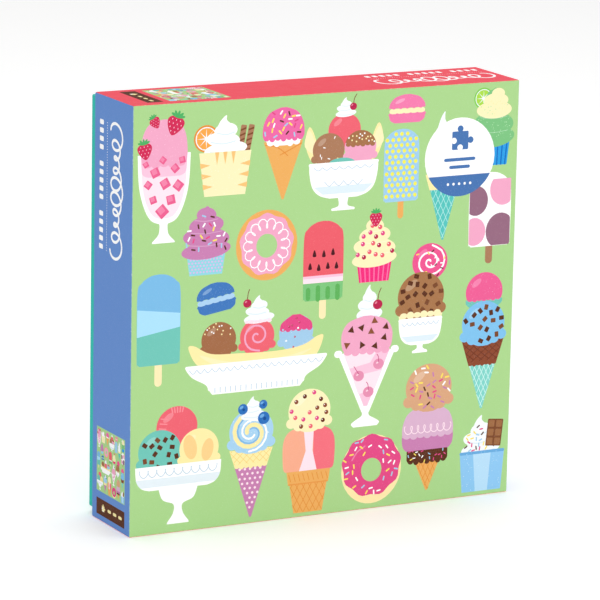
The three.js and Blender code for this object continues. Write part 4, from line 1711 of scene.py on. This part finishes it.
def folded_leaflet(picture, material):
    """A sheet folded once, with the fold on the left. It leans on the bag, and its front leaf curls
    a little."""
    low, high = in_mm(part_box("leaflet"))
    lean = math.atan2(BAG_BOTTOM_DEPTH - BAG_TOP_DEPTH, bag_size()[1])
    wide, spine = high.x - low.x - SHEET, math.pi * LEAF_BEND
    tall = (high.z - low.z) / math.cos(lean)
    foot = Matrix.Translation((0, low.y + SHEET + LEAF_OPENING / 2, low.z)) @ Matrix.Rotation(-lean, 4, "X")
    fold = low.x + SHEET

    def place(a, b, off):
        share = (a - wide - spine) / wide if a > wide + spine else (wide - a) / wide
        side = -1 if a > wide + spine / 2 else 1
        if share < 0:
            turn = math.pi * (a - wide) / spine
            radius = LEAF_BEND + off
            return foot @ Vector((fold - radius * math.sin(turn), radius * math.cos(turn), b))
        out = LEAF_BEND + off + LEAF_OPENING / 2 * share**2
        if side < 0:
            out += LEAF_CURL * max(0.0, share + b / tall - CURL_FROM) ** 2 / CURL_SPAN
        return foot @ Vector((fold + wide * share, side * out, b))

    flat = 2 * wide + spine
    cuts_x = [wide * k / LEAF_FACES for k in range(1, LEAF_FACES + 1)]
    cuts_x += [wide + spine * k / FOLD_FACES for k in range(1, FOLD_FACES + 1)]
    cuts_x += [wide + spine + wide * k / LEAF_FACES for k in range(1, LEAF_FACES)]
    cuts_y = [tall * k / LEAF_FACES for k in range(1, LEAF_FACES)]
    art = leaflet_art(picture, wide, tall, spine)
    points, triangles, colours = art.triangles((0, 0), (flat, tall), INNER_PAPER, cuts_x, cuts_y)
    skin = Skin()
    count = len(points)
    for off in (SHEET / 2, -SHEET / 2):
        skin.points += [place(a, b, off) for a, b in points]
    skin.wear = [0.0] * len(skin.points)
    for triangle, colour in zip(triangles, colours):
        skin.face(list(triangle), colour)
        skin.face([count + k for k in reversed(triangle)], INNER_PAPER)
    rim = rim_of(triangles)
    for k in range(len(rim)):
        skin.face([rim[k - 1], count + rim[k - 1], count + rim[k], rim[k]], INNER_PAPER)
    settle(skin.build("leaflet_printed", material, False), "contents", "leaflet_paper", "leaflet")


# ---------------------------------------------------------------- camera, light and floor
VIEW_TURN = math.radians(27.757)  # the camera stands this far round to the left
VIEW_RISE = math.radians(12.53)
VIEW_ROLL = math.radians(1.11)
VIEW_DISTANCE = 1.832  # metres
VIEW_LENS = 234.8
AIM_LEFT = 14.4  # the point that the camera looks at, in mm from the middle of the front
AIM_HEIGHT = 105.7
LAMP_AIM = Vector((0, 0, 0.1))
SKY_LIGHT = 0.64
FLOOR_GLOW = 0.18
FLOOR_REACH = 12.0  # metres each way


def add_camera():
    """The camera, on the photo's side of the box."""
    data = bpy.data.cameras.new("camera")
    data.lens = VIEW_LENS
    data.sensor_width = 36
    data.clip_start = 0.1
    data.clip_end = 20
    camera = add_object("camera", data)
    turn = Matrix.Rotation(-VIEW_TURN, 4, "Z") @ Matrix.Rotation(math.pi / 2 - VIEW_RISE, 4, "X")
    aim = Vector((-AIM_LEFT * MM, cad_bounds[0][1], AIM_HEIGHT * MM))
    back = turn @ Vector((0, 0, VIEW_DISTANCE))
    camera.matrix_world = Matrix.Translation(aim + back) @ turn @ Matrix.Rotation(VIEW_ROLL, 4, "Z")
    bpy.context.scene.camera = camera


def area_light(name, place, size, power):
    """A round lamp that faces the box. Its place and size are in metres, its power in watts."""
    data = bpy.data.lights.new(name, "AREA")
    data.shape = "DISK"
    data.size = size
    data.energy = power
    lamp = add_object(name, data)
    lamp.location = place
    lamp.rotation_euler = (Vector(place) - LAMP_AIM).to_track_quat("Z", "Y").to_euler()


def add_studio():
    """A pale floor, an even white sky and three large soft lamps."""
    world = bpy.data.worlds.new("studio")
    bpy.context.scene.world = world
    world.use_nodes = True
    sky = world.node_tree.nodes["Background"]
    sky.inputs["Strength"].default_value = SKY_LIGHT
    sky.inputs["Color"].default_value = PURE_WHITE
    area_light("key", (-0.8, -2.7, 1.4), size=1.4, power=18)
    area_light("fill", (1.8, -1.6, 0.7), size=1.4, power=8.5)
    area_light("top", (0.1, 0.4, 1.9), size=1.2, power=10)
    look = Shader("floor", Roughness=0.7)
    pale, shade = (0.985, 0.985, 0.98, 1), (0.97, 0.97, 0.97, 1)
    tone = look.patches(pale, shade, size=240.0, low=0.3, high=0.7, most=0.3)
    glow = {"Emission Color": PURE_WHITE, "Emission Strength": FLOOR_GLOW}
    look.set(look.surface, {"Base Color": tone, **glow})
    mesh = bpy.data.meshes.new("floor")
    corners = [(x * FLOOR_REACH, y * FLOOR_REACH, 0) for x, y in ((-1, -1), (1, -1), (1, 1), (-1, 1))]
    mesh.from_pydata(corners, [], [(0, 1, 2, 3)])
    mesh.materials.append(look.material)
    floor = add_object("floor", mesh)
    bpy.context.scene.view_settings.view_transform = "Standard"


# ---------------------------------------------------------------- the scene
add_camera()
add_studio()
print_look = printed_paper("printed_wrap")
greyboard_look = greyboard()
kraft_look = kraft()
picture = desserts()

front_art = Drawing()
front_art.stamp(picture, 0, 0)
badge(front_art, *BADGE_PLACE, BADGE_RADIUS)
side = side_art(picture)
shifted = Drawing()
shifted.stamp(side, 0, TOP_SHIFT)
lid_arts = {"panel": front_art, "left": side, "top": shifted, "right": side, "bottom": shifted}
lid_inks = {"panel": GREEN, "left": BLUE, "top": CORAL, "right": BLUE, "bottom": CORAL}
wrap(Box("lid", 1), lid_arts, lid_inks, print_look)
tray_box = Box("tray", -1)
tray_inks = dict.fromkeys(("panel", "left", "top", "right", "bottom"), TEAL)
wrap(tray_box, {"panel": back_art(picture, 2 * tray_box.half)}, tray_inks, print_look)

puzzle_look = printed_paper("puzzle_card")
parts = cut_picture(picture)
used = front_pieces(parts, puzzle_look)
heap_of_pieces(parts, used, puzzle_look)
film_bag(clear_film())
folded_leaflet(picture, printed_paper("leaflet_paper", roughness=0.42))
for name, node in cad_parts.items():
    if name.endswith("_board"):
        node.material_slots[0].material = greyboard_look
    if "corner_tape" in name:
        node.material_slots[0].material = kraft_look
